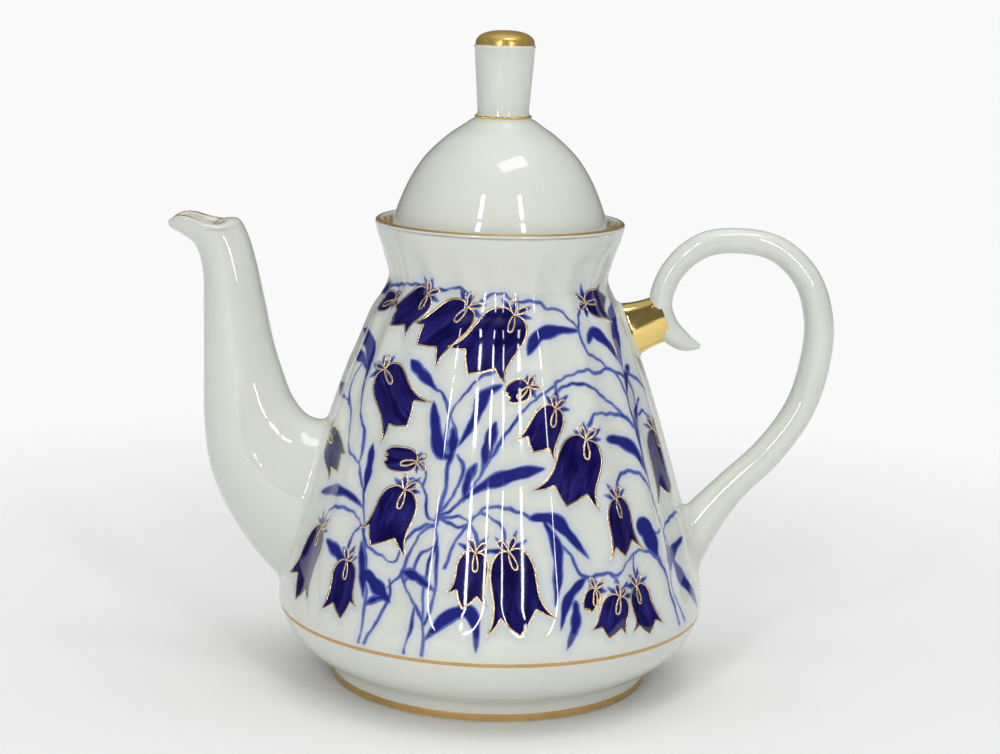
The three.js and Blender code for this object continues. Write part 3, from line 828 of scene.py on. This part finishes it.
class Nodes:
    """Short names for adding and joining the shader nodes of a material or a world."""

    def __init__(self, owner):
        owner.use_nodes = True
        self.owner = owner
        self.tree = owner.node_tree
        self.surface = self.tree.nodes.get("Principled BSDF")

    def add(self, kind, **inputs):
        node = self.tree.nodes.new(kind)
        for key, value in inputs.items():
            self.feed(node.inputs[key.replace("_", " ")], value)
        return node

    def feed(self, socket, value):
        if isinstance(value, bpy.types.NodeSocket):
            self.tree.links.new(value, socket)
        else:
            socket.default_value = value

    def attribute(self, name, output="Fac"):
        node = self.tree.nodes.new("ShaderNodeAttribute")
        node.attribute_name = name
        return node.outputs[output]

    def math(self, operation, a, b=0.0):
        node = self.tree.nodes.new("ShaderNodeMath")
        node.operation = operation
        self.feed(node.inputs[0], a)
        self.feed(node.inputs[1], b)
        return node.outputs[0]

    def ramp(self, value, low, high, to_low=0.0, to_high=1.0):
        node = self.tree.nodes.new("ShaderNodeMapRange")
        node.interpolation_type = "SMOOTHSTEP"
        for socket, number in zip(node.inputs, (value, low, high, to_low, to_high)):
            self.feed(socket, number)
        return node.outputs[0]

    def mix(self, factor, a, b):
        node = self.tree.nodes.new("ShaderNodeMix")
        node.data_type = "RGBA"
        colours = [s for s in node.inputs if s.type == "RGBA"]
        self.feed(node.inputs["Factor"], factor)
        self.feed(colours[0], a)
        self.feed(colours[1], b)
        return next(s for s in node.outputs if s.type == "RGBA")

    def noise(self, scale, detail=3.0, vector=None, roughness=0.5):
        node = self.add("ShaderNodeTexNoise", Scale=scale, Detail=detail, Roughness=roughness)
        self.feed(node.inputs["Vector"], vector if vector is not None else self.place())
        return node.outputs["Fac"]

    def wander(self, scale, detail, amount):
        """Noise spread evenly about zero."""
        return self.math("MULTIPLY", self.math("SUBTRACT", self.noise(scale, detail), 0.5), amount)

    def place(self):
        return self.add("ShaderNodeTexCoord").outputs["Object"]

    def is_ray(self, kind):
        """1 for rays of one kind, such as Camera or Glossy, and 0 for the rest."""
        return self.add("ShaderNodeLightPath").outputs[f"Is {kind} Ray"]

    def choose(self, factor, a, b):
        """A number that is a where factor is 0 and b where it is 1."""
        return self.add("ShaderNodeMix", Factor=factor, A=a, B=b).outputs["Result"]

    def bump(self, height, strength, distance):
        node = self.add("ShaderNodeBump", Height=height, Strength=strength, Distance=distance)
        return node.outputs["Normal"]

    def set(self, **inputs):
        for key, value in inputs.items():
            self.feed(self.surface.inputs[key.replace("_", " ")], value)


def material_nodes(name):
    return Nodes(bpy.data.materials.new(name))


ROOM_WHITE = 0.95
ROOM_FILL = 0.25
ROOM_REFLECTED = 0.05
CEILING_REFLECTED = 0.55
CEILING_EDGE = (52, 66)
FLOOR_FADE = (0.11, 0.40)

PORCELAIN = (0.665, 0.682, 0.615, 1)
PORCELAIN_COOL = (0.625, 0.655, 0.605, 1)
BLEED_BLUE = (0.22, 0.34, 0.62, 1)
STROKE_BLUES = ((0.085, 0.125, 0.40, 1), (0.014, 0.018, 0.175, 1))
PETAL_BLUES = ((0.0030, 0.0010, 0.054, 1), (0.014, 0.010, 0.112, 1))
STREAK_BLUE = (0.030, 0.034, 0.235, 1)


def glaze(nodes, colour):
    """A thick clear glaze over the given colour, with waves, runs down the wall and fine pits."""
    waves = nodes.noise(38.0, 2.0)
    drawn_out = nodes.add("ShaderNodeMapping", Vector=nodes.place(), Scale=(1.0, 1.0, 0.3)).outputs[0]
    runs = nodes.math("MULTIPLY", nodes.noise(420.0, 2.0, drawn_out), 0.13)
    pits = nodes.math("MULTIPLY", nodes.noise(900.0, 2.0), 0.02)
    height = nodes.math("ADD", waves, nodes.math("ADD", runs, pits))
    nodes.set(Base_Color=colour, IOR=1.52, Normal=nodes.bump(height, 0.10, 0.0012))
    nodes.set(Roughness=nodes.ramp(nodes.noise(60.0), 0.3, 0.75, 0.045, 0.085))
    nodes.set(Coat_Weight=0.4, Coat_Roughness=0.03)


def porcelain_colour(nodes):
    return nodes.mix(nodes.ramp(nodes.noise(22.0, 4.0), 0.35, 0.7), PORCELAIN, PORCELAIN_COOL)


def make_porcelain():
    nodes = material_nodes("white_glaze")
    glaze(nodes, porcelain_colour(nodes))
    return nodes.owner


def make_painted_porcelain():
    nodes = material_nodes("painted_glaze")
    leaf, bell = nodes.attribute("leaf_depth"), nodes.attribute("bell_depth")
    flow = nodes.attribute("bell_flow", "Vector")
    ragged = nodes.math("ADD", nodes.wander(520.0, 4.0, 0.45), nodes.wander(170.0, 2.0, 0.7))

    bleed = nodes.ramp(leaf, -2.8, 0.0, 0.0, 0.24)
    bell_bleed = nodes.ramp(bell, -2.8, 0.0, 0.0, 0.26)
    halo = nodes.math("MAXIMUM", bleed, bell_bleed)
    colour = nodes.mix(halo, porcelain_colour(nodes), BLEED_BLUE)

    pooled = nodes.ramp(nodes.math("ADD", leaf, nodes.wander(150.0, 3.0, 1.3)), -0.05, 0.55)
    stroke = nodes.mix(pooled, *STROKE_BLUES)
    colour = nodes.mix(nodes.ramp(nodes.math("ADD", leaf, ragged), -0.50, 0.14), colour, stroke)

    broad = nodes.add("ShaderNodeMapping", Vector=flow, Scale=(0.28, 0.10, 1.0)).outputs[0]
    washes = nodes.ramp(nodes.noise(1.0, 2.0, broad), 0.38, 0.64)
    petal = nodes.mix(washes, *PETAL_BLUES)
    fine = nodes.add("ShaderNodeMapping", Vector=flow, Scale=(0.75, 0.085, 1.0)).outputs[0]
    streaks = nodes.ramp(nodes.noise(1.0, 5.0, fine, 0.6), 0.50, 0.76, 0.0, 0.8)
    petal = nodes.mix(streaks, petal, STREAK_BLUE)
    colour = nodes.mix(nodes.ramp(bell, -0.22, 0.14), colour, petal)
    glaze(nodes, colour)
    return nodes.owner


def make_gold(name, colour, roughness, grain, metallic):
    nodes = material_nodes(name)
    worn = nodes.ramp(nodes.noise(240.0, 4.0), 0.35, 0.75)
    nodes.set(Base_Color=nodes.mix(worn, colour, tuple(0.86 * c for c in colour[:3]) + (1,)))
    nodes.set(Metallic=metallic)
    nodes.set(Roughness=nodes.ramp(nodes.noise(400.0), 0.3, 0.7, roughness, roughness + 0.10))
    nodes.set(Normal=nodes.bump(nodes.noise(330.0, 3.0), grain, 0.0004))
    return nodes.owner


def make_bisque():
    nodes = material_nodes("bare_foot_ring")
    nodes.set(Base_Color=nodes.mix(nodes.noise(300.0, 4.0), (0.70, 0.69, 0.65, 1), (0.60, 0.585, 0.54, 1)))
    nodes.set(Roughness=nodes.ramp(nodes.noise(700.0), 0.3, 0.7, 0.55, 0.75))
    nodes.set(Normal=nodes.bump(nodes.noise(1500.0, 3.0), 0.3, 0.0004))
    return nodes.owner


def make_floor_material():
    """Pale paper that fades into the white of the room, away from the pot, where the camera sees it."""
    nodes = material_nodes("pale_floor")
    paper = nodes.mix(nodes.noise(3.0), (0.80, 0.80, 0.80, 1), (0.82, 0.82, 0.82, 1))
    nodes.set(Base_Color=paper, Roughness=0.7)
    distance = nodes.tree.nodes.new("ShaderNodeVectorMath")
    distance.operation = "LENGTH"
    nodes.feed(distance.inputs[0], nodes.place())
    away = nodes.math("MULTIPLY", nodes.ramp(distance.outputs["Value"], *FLOOR_FADE), nodes.is_ray("Camera"))
    white = nodes.add("ShaderNodeEmission", Color=(1, 1, 1, 1), Strength=ROOM_WHITE)
    blend = nodes.tree.nodes.new("ShaderNodeMixShader")
    for socket, value in zip(blend.inputs, (away, nodes.surface.outputs[0], white.outputs[0])):
        nodes.feed(socket, value)
    nodes.feed(nodes.tree.nodes["Material Output"].inputs["Surface"], blend.outputs[0])
    return nodes.owner


# ---- body


def body_line():
    """The whole outline of the body, from under the foot, up the outside and down the inside."""
    ring_inside = FOOT_RADIUS - FOOT_RING
    foot = [(2, FOOT_RECESS), (ring_inside - 6, FOOT_RECESS), (ring_inside - 2, FOOT_RECESS - 0.15)]
    foot += arc_points((ring_inside - 1.2, FOOT_RECESS - 1.2), 1.2, 90, 20, 5)
    foot += [(ring_inside + 0.1, 0.35), (ring_inside + 0.5, 0)]
    ring = [(ring_inside + 1.2, 0), (FOOT_RADIUS - 1.0, 0), (FOOT_RADIUS - 0.35, 0.05)]
    wall = [(FOOT_RADIUS, 0.4), (FOOT_RADIUS, 2.8), (FOOT_RADIUS + 0.05, 4.4), (FOOT_RADIUS + 0.25, 5.4)]
    wall += [(FOOT_RADIUS + 0.75, 6.1), (FOOT_RADIUS + 1.5, 6.55), (FOOT_RADIUS + 1.9, 6.62)]
    arcs = np.linspace(2.4, BODY_ARC[-1], BODY_ROWS)
    heights = height_at(arcs)
    outside = list(zip(outer_radius(heights), heights))
    crest = arc_points(CREST_CENTRE, CREST_RADIUS, 0, 180, 9)
    cavity = CAVITY_LINE[::-1][:: len(CAVITY_LINE) // CAVITY_ROWS]
    inside = [tuple(p) for p in cavity if 2 < p[0] and p[1] < CAVITY_TOP]
    bare = (len(foot) - 1, len(foot) + len(ring) - 1)
    return foot + ring + wall + outside + crest + inside, bare


def pierce(obj, cutter):
    """Cuts the cutter out of obj and removes the cutter."""
    cut = obj.modifiers.new("hole", "BOOLEAN")
    cut.operation = "DIFFERENCE"
    cut.solver = "EXACT"
    cut.object = cutter
    bpy.context.view_layer.update()
    done = bpy.data.meshes.new_from_object(obj.evaluated_get(bpy.context.evaluated_depsgraph_get()))
    obj.modifiers.clear()
    obj.data = done
    bpy.data.objects.remove(cutter)


def add_pin(builder, start, end, across, up, radius):
    """A closed round pin between two points, for cutting a hole."""
    angle = full_turn(24)[:, None]
    circle = radius * (np.cos(angle) * np.array(across) + np.sin(angle) * np.array(up))
    index = builder.add_grid(np.array([circle + start, circle + end]))
    builder.add_cap(index[0], start)
    builder.add_cap(index[1], end)


def strainer_cutter():
    """Seven pins along X, one in the middle and six round it, behind the spout."""
    builder = Builder()
    places = [(0, 0)]
    for turn in np.radians(np.arange(30, 390, 60)):
        places.append((STRAINER_PITCH * math.cos(turn), STRAINER_PITCH * math.sin(turn)))
    for y, z in places:
        start, end = ((x, y, STRAINER_HEIGHT + z) for x in STRAINER_REACH)
        add_pin(builder, start, end, (0, 1.0, 0), (0, 0, 1.0), STRAINER_HOLE_RADIUS)
    return builder.make("strainer_cutter", [])


def build_body(painted, bisque, flowers, strokes):
    line, (bare_start, bare_end) = body_line()
    slots = np.zeros(len(line) - 1, int)
    slots[bare_start:bare_end] = 1

    def flute(radius, azimuth, height):
        is_outside = radius > inner_radius(height) + 1.5
        return radius * (1 - np.where(is_outside, fluting(azimuth, height), 0))

    builder = Builder()
    add_lathe(builder, line, BODY_COLUMNS, flute, slots)
    body = builder.make("painted_body", [painted, bisque])
    pierce(body, strainer_cutter())
    for flower in flowers:
        strokes = strokes + list(flower.sepals())
    refine_strokes(body.data, strokes)
    paint_fields(body.data, flowers, strokes)
    return body


# ---- pieces stuck on the body


def rooted_rows(surface, start, stop, fillet, columns, rows):
    """Rows of a limb from its free end at t = start down to the body, ending in a soft fillet.

    surface(t, angle) gives the limb's points. The last rows bend on to the body's surface.
    """
    angle = full_turn(columns)
    t = np.linspace(start, stop, 900)
    dense = surface(t[:, None], angle[None, :])
    azimuth = np.degrees(np.arctan2(dense[..., 0], -dense[..., 1]))
    gap = np.hypot(dense[..., 0], dense[..., 1]) - fluted_radius(azimuth, dense[..., 2])
    steps = np.linalg.norm(np.diff(dense, axis=0), axis=-1)
    run = np.concatenate([np.zeros((1, columns)), np.cumsum(steps, 0)])
    hit = (gap > 0).argmin(axis=0)
    column = np.arange(columns)
    seam = dense[hit, column]
    leave_run = run[hit, column] - fillet
    leave = np.array([np.interp(leave_run[j], run[:, j], t) for j in column])
    share = np.linspace(0, 1, rows)[:, None]
    limb = surface(start + (leave[None] - start) * share, np.broadcast_to(angle, (rows, columns)))

    centre = seam.mean(axis=0)
    radial = seam * np.array([1, 1, 0])
    radial /= np.linalg.norm(radial, axis=1, keepdims=True)
    spread = seam - centre
    spread -= (spread * radial).sum(1, keepdims=True) * radial
    spread /= np.linalg.norm(spread, axis=1, keepdims=True)
    landing = seam + fillet * spread
    landing_azimuth = np.degrees(np.arctan2(landing[:, 0], -landing[:, 1]))
    sunk = 0.05
    landing = around(fluted_radius(landing_azimuth, landing[:, 2]) - sunk, landing_azimuth, landing[:, 2])
    s = np.linspace(0, 1, 12)[1:, None, None]
    bend = (1 - s) ** 2 * limb[-1] + 2 * s * (1 - s) * seam + s**2 * landing
    return np.vstack([limb, bend])


def spout_surface():
    under = StationCurve([(x, half, z) for (x, z), _, half in SPOUT_STATIONS])
    upper = StationCurve([(x, half, z) for _, (x, z), half in SPOUT_STATIONS])

    def surface(t, angle, inset=0.0):
        low, high = under.at(t), upper.at(t)
        u, v = np.cos(angle), np.sin(angle)
        lip = smoothstep(t, SPOUT_LIP_START, 1)
        across = (high - low) / 2 * np.array([1, 0, 1])
        size = np.linalg.norm(across, axis=-1, keepdims=True)
        shift = (SPOUT_SHOULDER / 2 * lip * inset / SPOUT_WALL)[..., None]
        centre = (low + high) / 2 - across / size * shift
        across = across * (1 - (np.asarray(inset)[..., None] + shift) / size)
        breadth = (high[..., 1] - inset) * (1 + SPOUT_BEAK * u * lip)
        x = centre[..., 0] + across[..., 0] * u
        z = centre[..., 2] + across[..., 2] * u - SPOUT_LIP_WAVE * v * v * u * lip
        return np.stack([x, breadth * v + 0 * x, z], -1)

    return surface


def build_spout(porcelain, gold):
    surface = spout_surface()
    columns = 96
    outer = rooted_rows(surface, 1.0, 0.0, SPOUT_FILLET, columns, 150)
    angle = full_turn(columns)[None, :]
    turn = np.linspace(0, math.pi, 9)[1:, None]
    inset = SPOUT_WALL * (1 - np.cos(turn)) / 2 + 0 * angle
    crest = surface(np.ones_like(inset), np.broadcast_to(angle, inset.shape), inset)
    flat_shoulder = 1 - 0.6 * smoothstep(np.cos(angle), 0.4, 1.0)
    crest[..., 2] += 0.42 * SPOUT_WALL * flat_shoulder * np.sin(turn)
    t = np.linspace(0.995, 0.30, 60)[:, None] + 0 * angle
    bore = surface(t, np.broadcast_to(angle, t.shape), np.full(t.shape, SPOUT_WALL))
    builder = Builder()
    builder.add_grid(np.vstack([outer[::-1], crest, bore]))
    spout = builder.make("spout_glaze", [porcelain])

    line = Builder()
    path = crest[3].copy()
    # The line is worn thin where its two sides meet, at the tip and at the shoulder.
    unworn = smoothstep(1 - np.abs(np.cos(angle[0])), 0.0, 0.10)
    path[:, 2] -= 0.30 - 0.18 * unworn
    line.add_grid(ring_tube(path, 0.10 + 0.20 * unworn))
    return spout, line.make("spout_lip_line", [gold])


def handle_surface(stations, breadth):
    curve = StationCurve(stations)

    def surface(t, angle):
        t, angle = np.broadcast_arrays(t, angle)
        centre = curve.at(t)
        step = 0.002
        ahead = (curve.at(t + step) - curve.at(t - step)) * np.array([1, 0, 1])
        ahead /= np.linalg.norm(ahead, axis=-1, keepdims=True)
        half = centre[..., 1] - GLAZE_SHRINK
        x = centre[..., 0] + ahead[..., 2] * half * np.cos(angle)
        z = centre[..., 2] - ahead[..., 0] * half * np.cos(angle)
        return np.stack([x, half * breadth * np.sin(angle), z], -1)

    return surface


def build_handle(porcelain):
    surface = handle_surface(HANDLE_STATIONS, HANDLE_BREADTH)
    rows = rooted_rows(surface, 0.0, 1.0, HANDLE_FILLET, 40, 360)
    tip = rows[0].mean(axis=0)
    beyond = tip + (tip - rows[4].mean(axis=0)) * 0.4
    nose = [beyond + (rows[0] - tip) * share + (tip - beyond) * (1 - lift)
            for share, lift in ((0.45, 0.88), (0.8, 0.55))]
    builder = Builder()
    index = builder.add_grid(np.vstack([np.array(nose), rows]))
    builder.add_cap(index[0], tuple(beyond))
    return builder.make("handle_glaze", [porcelain])


def build_bridge(porcelain, gold):
    """The gilded bridge, an oval spool that flares softly at both ends."""
    start, end = np.array(BRIDGE_START), np.array(BRIDGE_END)
    axis = (end - start) / np.linalg.norm(end - start)
    length = np.linalg.norm(end - start)
    halves = uniform_spline([(h, 0) for h in BRIDGE_HALF_HEIGHTS], 60)[:, 0]

    def surface(t, angle):
        t, angle = np.broadcast_arrays(t, angle)
        half = np.interp(t, np.linspace(0, 1, 60), halves)
        centre = start + (length * t)[..., None] * axis
        x = centre[..., 0] - axis[1] * half * np.cos(angle)
        z = centre[..., 1] + axis[0] * half * np.cos(angle)
        return np.stack([x, half * BRIDGE_BREADTH * np.sin(angle), z], -1)

    rows = rooted_rows(surface, 1.0, 0.0, BRIDGE_FILLET, 48, 60)
    slots = np.ones(len(rows) - 1, int)
    slots[-9:] = 0
    builder = Builder()
    builder.add_grid(rows, slot=slots)
    return builder.make("bridge_gilding", [porcelain, gold])


# ---- lid


def build_lid(porcelain):
    dome = uniform_spline(LID_PROFILE, 90) + (0, LID_EQUATOR)
    edge = (LID_RADIUS - LID_EDGE_RADIUS, LID_EQUATOR)
    under = arc_points(edge, LID_EDGE_RADIUS, -8, -90, 16)
    collar = arc_points((25.6, LID_EQUATOR - 6.0), COLLAR_LIP, 90, 180, 6)
    collar += [(24.5, LID_EQUATOR - 9), (23.9, LID_EQUATOR - 17), (23.3, COLLAR_END + 1.5)]
    collar += arc_points((22.3, COLLAR_END + 1), COLLAR_LIP, 0, -180, 9)
    hollow = (uniform_spline(LID_PROFILE, 60) * (1 - LID_WALL / LID_RADIUS))[::-1]
    hollow = hollow[hollow[:, 1] > HOLLOW_START] + (0, LID_EQUATOR)
    inside = [(21.5, LID_EQUATOR - 17), (22.2, LID_EQUATOR - 6), (24.2, LID_EQUATOR + 4)]
    line = [tuple(p) for p in dome[1:]] + under + collar + inside + [tuple(p) for p in hollow[:-1]]
    builder = Builder()
    add_lathe(builder, line, 160)
    lid = builder.make("lid_glaze", [porcelain])
    pierce(lid, vent_cutter())
    return lid


def vent_cutter():
    """One pin through the dome at the back, where steam leaves and air comes in."""
    tilt = math.radians(VENT_TILT)
    direction = np.array([0, math.cos(tilt), math.sin(tilt)])
    up = (0, -math.sin(tilt), math.cos(tilt))
    reaches = (LID_RADIUS - 2 * LID_WALL, LID_RADIUS + 2 * LID_WALL)
    start, end = (np.array([0, 0, LID_EQUATOR]) + direction * reach for reach in reaches)
    builder = Builder()
    add_pin(builder, start, end, (1.0, 0, 0), up, VENT_RADIUS)
    return builder.make("vent_cutter", [])


def build_knob(porcelain, cap_gold, ring_gold):
    """A cone that widens upwards, with a gilded bun-shaped cap and a gilt beaded ring at its base."""
    cone_top = KNOB_TOP - CAP_HEIGHT
    side = [(8.5, KNOB_SEAT - 0.75), (7.8, KNOB_SEAT - 0.1), (7.4, KNOB_SEAT + 0.6)]
    side += [(7.25, KNOB_SEAT + 1.6), (7.3, KNOB_SEAT + 3)]
    rise = cone_top - KNOB_SEAT - 3.5
    side += [(7.3 + 1.1 * s, KNOB_SEAT + 3 + s * rise) for s in (0.25, 0.5, 0.75, 1.0)]
    side += arc_points((KNOB_RADIUS - 0.75, cone_top - 0.2), 0.7, 0, 60, 5)
    cap_radius, cap_start, roundness = 0.985 * (KNOB_RADIUS - 0.3), 0.35, 0.8
    cap = [(cap_radius * math.cos(a) ** roundness,
            cone_top + cap_start + (CAP_HEIGHT - cap_start) * math.sin(a) ** roundness)
           for a in np.radians(np.linspace(3, 86, 26))]
    line = side + cap
    slots = np.zeros(len(line) - 1, int)
    slots[len(side) - 1:] = 1
    builder = Builder()
    index = builder.add_grid(turned(line, 96), slot=slots)
    builder.add_cap(index[-1], (0, 0, KNOB_TOP), 1)
    knob = builder.make("knob_glaze", [porcelain, cap_gold])

    angle = full_turn(480)
    path = np.stack([7.55 * np.sin(angle), 7.55 * np.cos(angle), np.full(480, KNOB_SEAT + 0.3)], -1)
    path[:, 2] += 0.10 * np.sin(30 * angle)
    ring = Builder()
    ring.add_grid(ring_tube(path, 0.38 + 0.10 * np.sin(60 * angle)))
    return knob, ring.make("knob_ring", [ring_gold])


# ---- gold lines and the frieze


def gold_band(builder, low, high, radius_at):
    """A flat gold line round the pot between two heights."""
    heights = np.linspace(low, high, 8)
    azimuth = np.linspace(0, 360, BODY_COLUMNS, endpoint=False)
    relief = BAND_RELIEF * np.array([-0.4, 1, 1, 1, 1, 1, 1, -0.4])
    radii = [radius_at(azimuth, height) + lift for height, lift in zip(heights, relief)]
    builder.add_grid(around(np.array(radii), azimuth, heights[:, None]))


def build_gold_bands(gold):
    builder = Builder()
    gold_band(builder, GOLD_LINE_HEIGHT - 0.6, GOLD_LINE_HEIGHT + 0.6, fluted_radius)
    gold_band(builder, 0.5, 2.7, lambda azimuth, height: np.full_like(azimuth, FOOT_RADIUS + 0.02))
    crest = arc_points(CREST_CENTRE, CREST_RADIUS + BAND_RELIEF, 38, 98, 9)
    builder.add_grid(turned(crest, BODY_COLUMNS))
    return builder.make("gold_bands", [gold])


def leaf_outline(builder, patch, base, angle, length, width, filled):
    """A pointed leaf drawn with two strokes and a rib."""
    t = np.linspace(0, 1, 22)
    bulge = np.sin(math.pi * t) ** 0.8 * (1 - 0.35 * t)
    c, s = math.cos(angle), math.sin(angle)
    for sign in (-1, 1):
        along, across = length * t, sign * width / 2 * bulge
        path = np.array(base) + np.stack([along * c - across * s, along * s + across * c], -1)
        ribbon(builder, patch, path, tapered(22, 0.42), BAND_RELIEF)
    share = 0.9 if filled else 0.55
    path = np.array(base) + np.stack([length * share * t * c, length * share * t * s], -1)
    heavy = width * 0.62 * bulge if filled else tapered(22, 0.35)
    ribbon(builder, patch, path, np.maximum(heavy, 0.08), BAND_RELIEF)


def build_frieze(gold):
    """Gilded leaf sprigs inside the neck, hanging from the rim on a slant."""
    builder = Builder()
    for number in range(FRIEZE_SPRIGS):
        azimuth = number * 360 / FRIEZE_SPRIGS + FRIEZE_TURN
        patch = CavityPatch(azimuth, RIM_HEIGHT - FRIEZE_DROP)
        for degrees, length, width in FRIEZE_OPEN_LEAVES:
            leaf_outline(builder, patch, FRIEZE_ROOT, math.radians(degrees), length, width, False)
        for x, y, degrees, length, width in FRIEZE_LEAVES:
            leaf_outline(builder, patch, (x, y), math.radians(degrees), length, width, True)
        stem = uniform_spline([FRIEZE_ROOT, (1.8, 0.9), (3.6, 1.5), (5.6, 1.3), (7.2, 0.7)], 40)
        ribbon(builder, patch, stem, tapered(40, 0.6), BAND_RELIEF)
    return builder.make("gold_frieze", [gold])


def build_flower_gold(flowers, gold):
    builder = Builder()
    for flower in flowers:
        flower.gild(builder)
    return builder.make("flower_gold_lines", [gold])


# ---- stage, in metres

COLUMN_TURN = 25
COLUMN_DISTANCE = 1.3
# The softboxes of one column: height, width, length.
COLUMN_BOXES = [(0.30, 0.06, 0.34), (0.72, 0.11, 0.26), (1.15, 0.11, 0.30)]
CAMERA_PLACE = (-0.0103, -0.590, 0.205)
CAMERA_TILT = 13.4
CAMERA_ROLL = 1.4
FLOOR_REACH = 3000.0 * MM


def build_floor():
    builder = Builder()
    reach = FLOOR_REACH / MM
    x, y = np.meshgrid(np.linspace(-reach, reach, 9), np.linspace(-reach, reach, 9))
    builder.add_grid(np.stack([x, y, np.zeros_like(x)], -1), closed=False)
    floor = builder.make("floor", [make_floor_material()])


def add_softbox(name, place, size, power, target, reflected=True):
    data = bpy.data.lights.new(name, "AREA")
    data.shape = "RECTANGLE"
    data.size, data.size_y = size
    data.energy = power
    lamp = put_in_scene(name, data)
    lamp.visible_glossy = reflected
    lamp.location = place
    lamp.rotation_euler = (Vector(target) - Vector(place)).to_track_quat("-Z", "Y").to_euler()


def add_room():
    """White walls for the camera, grey fill for the clay, and a dim room with a pale ceiling to reflect."""
    world = bpy.data.worlds.new("white_room")
    nodes = Nodes(world)
    generated = nodes.add("ShaderNodeTexCoord").outputs["Generated"]
    upward = nodes.add("ShaderNodeSeparateXYZ", Vector=generated).outputs["Z"]
    low, high = (math.sin(math.radians(angle)) for angle in CEILING_EDGE)
    ceiling = nodes.ramp(upward, low, high, ROOM_REFLECTED, CEILING_REFLECTED)
    strength = nodes.choose(nodes.is_ray("Glossy"), ROOM_FILL, ceiling)
    strength = nodes.choose(nodes.is_ray("Camera"), strength, ROOM_WHITE)
    background = nodes.tree.nodes["Background"]
    nodes.feed(background.inputs["Color"], (1, 1, 1, 1))
    nodes.feed(background.inputs["Strength"], strength)
    bpy.context.scene.world = world
    bpy.context.scene.view_settings.view_transform = "Standard"


def light_scene():
    """Two columns of small softboxes in front, and a wide and a small one overhead."""
    middle = (0, 0, 0.08)
    for side in (-1, 1):
        turn = math.radians(COLUMN_TURN * side)
        power = 1.9 if side < 0 else 1.4
        for height, wide, tall in COLUMN_BOXES:
            place = (COLUMN_DISTANCE * math.sin(turn), -COLUMN_DISTANCE * math.cos(turn), height)
            add_softbox("column_softbox", place, (wide, tall), power, middle)
    add_softbox("sky_softbox", (0.1, 0.2, 2.3), (3.6, 3.6), 52.0, middle, reflected=False)
    add_softbox("top_softbox", (0.25, -0.35, 1.5), (0.7, 0.35), 2.6, middle)


def add_camera():
    """The viewpoint: in front of the pot, a little to the left, looking down on it."""
    data = bpy.data.cameras.new("viewpoint")
    data.sensor_width = 36
    data.lens = 75
    data.shift_x = 0.042
    data.shift_y = 0.080
    camera = put_in_scene("viewpoint", data)
    camera.location = CAMERA_PLACE
    pitch = Matrix.Rotation(math.radians(90 - CAMERA_TILT), 3, "X")
    roll = Matrix.Rotation(math.radians(CAMERA_ROLL), 3, "Z")
    camera.rotation_euler = (pitch @ roll).to_euler()
    bpy.context.scene.camera = camera


# ---- assembly


def build_teapot():
    painted, porcelain, bisque = make_painted_porcelain(), make_porcelain(), make_bisque()
    line_gold = make_gold("gold_line", (0.90, 0.69, 0.37, 1), 0.20, 0.35, 0.8)
    frieze_gold = make_gold("gold_frieze", (0.72, 0.53, 0.20, 1), 0.22, 0.25, 0.6)
    band_gold = make_gold("gold_band", (0.62, 0.40, 0.15, 1), 0.36, 0.10, 0.7)
    mirror_gold = make_gold("gold_mirror", (0.86, 0.63, 0.22, 1), 0.05, 0.10, 0.88)
    satin_gold = make_gold("gold_satin", (0.78, 0.53, 0.15, 1), 0.22, 0.30, 0.65)
    flowers, strokes = all_flowers(), all_strokes()

    body = build_body(painted, bisque, flowers, strokes)
    spout, lip_line = build_spout(porcelain, band_gold)
    handle = build_handle(porcelain)
    bridge = build_bridge(porcelain, mirror_gold)
    lid = build_lid(porcelain)
    knob, knob_ring = build_knob(porcelain, satin_gold, mirror_gold)
    lines = [build_flower_gold(flowers, line_gold), build_gold_bands(band_gold)]
    lines += [build_frieze(frieze_gold), lip_line]

    stand_ins = {"pot_body": body, "spout": spout, "handle": handle, "handle_bridge": bridge}
    stand_ins |= {"lid": lid, "lid_knob": knob}
    for node, piece in stand_ins.items():
        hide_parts(node)
    for piece in [body, spout, handle, bridge] + lines:
        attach(piece, "pot")
    for piece in (lid, knob, knob_ring):
        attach(piece, "lid")


build_teapot()
build_floor()
add_room()
light_scene()
add_camera()
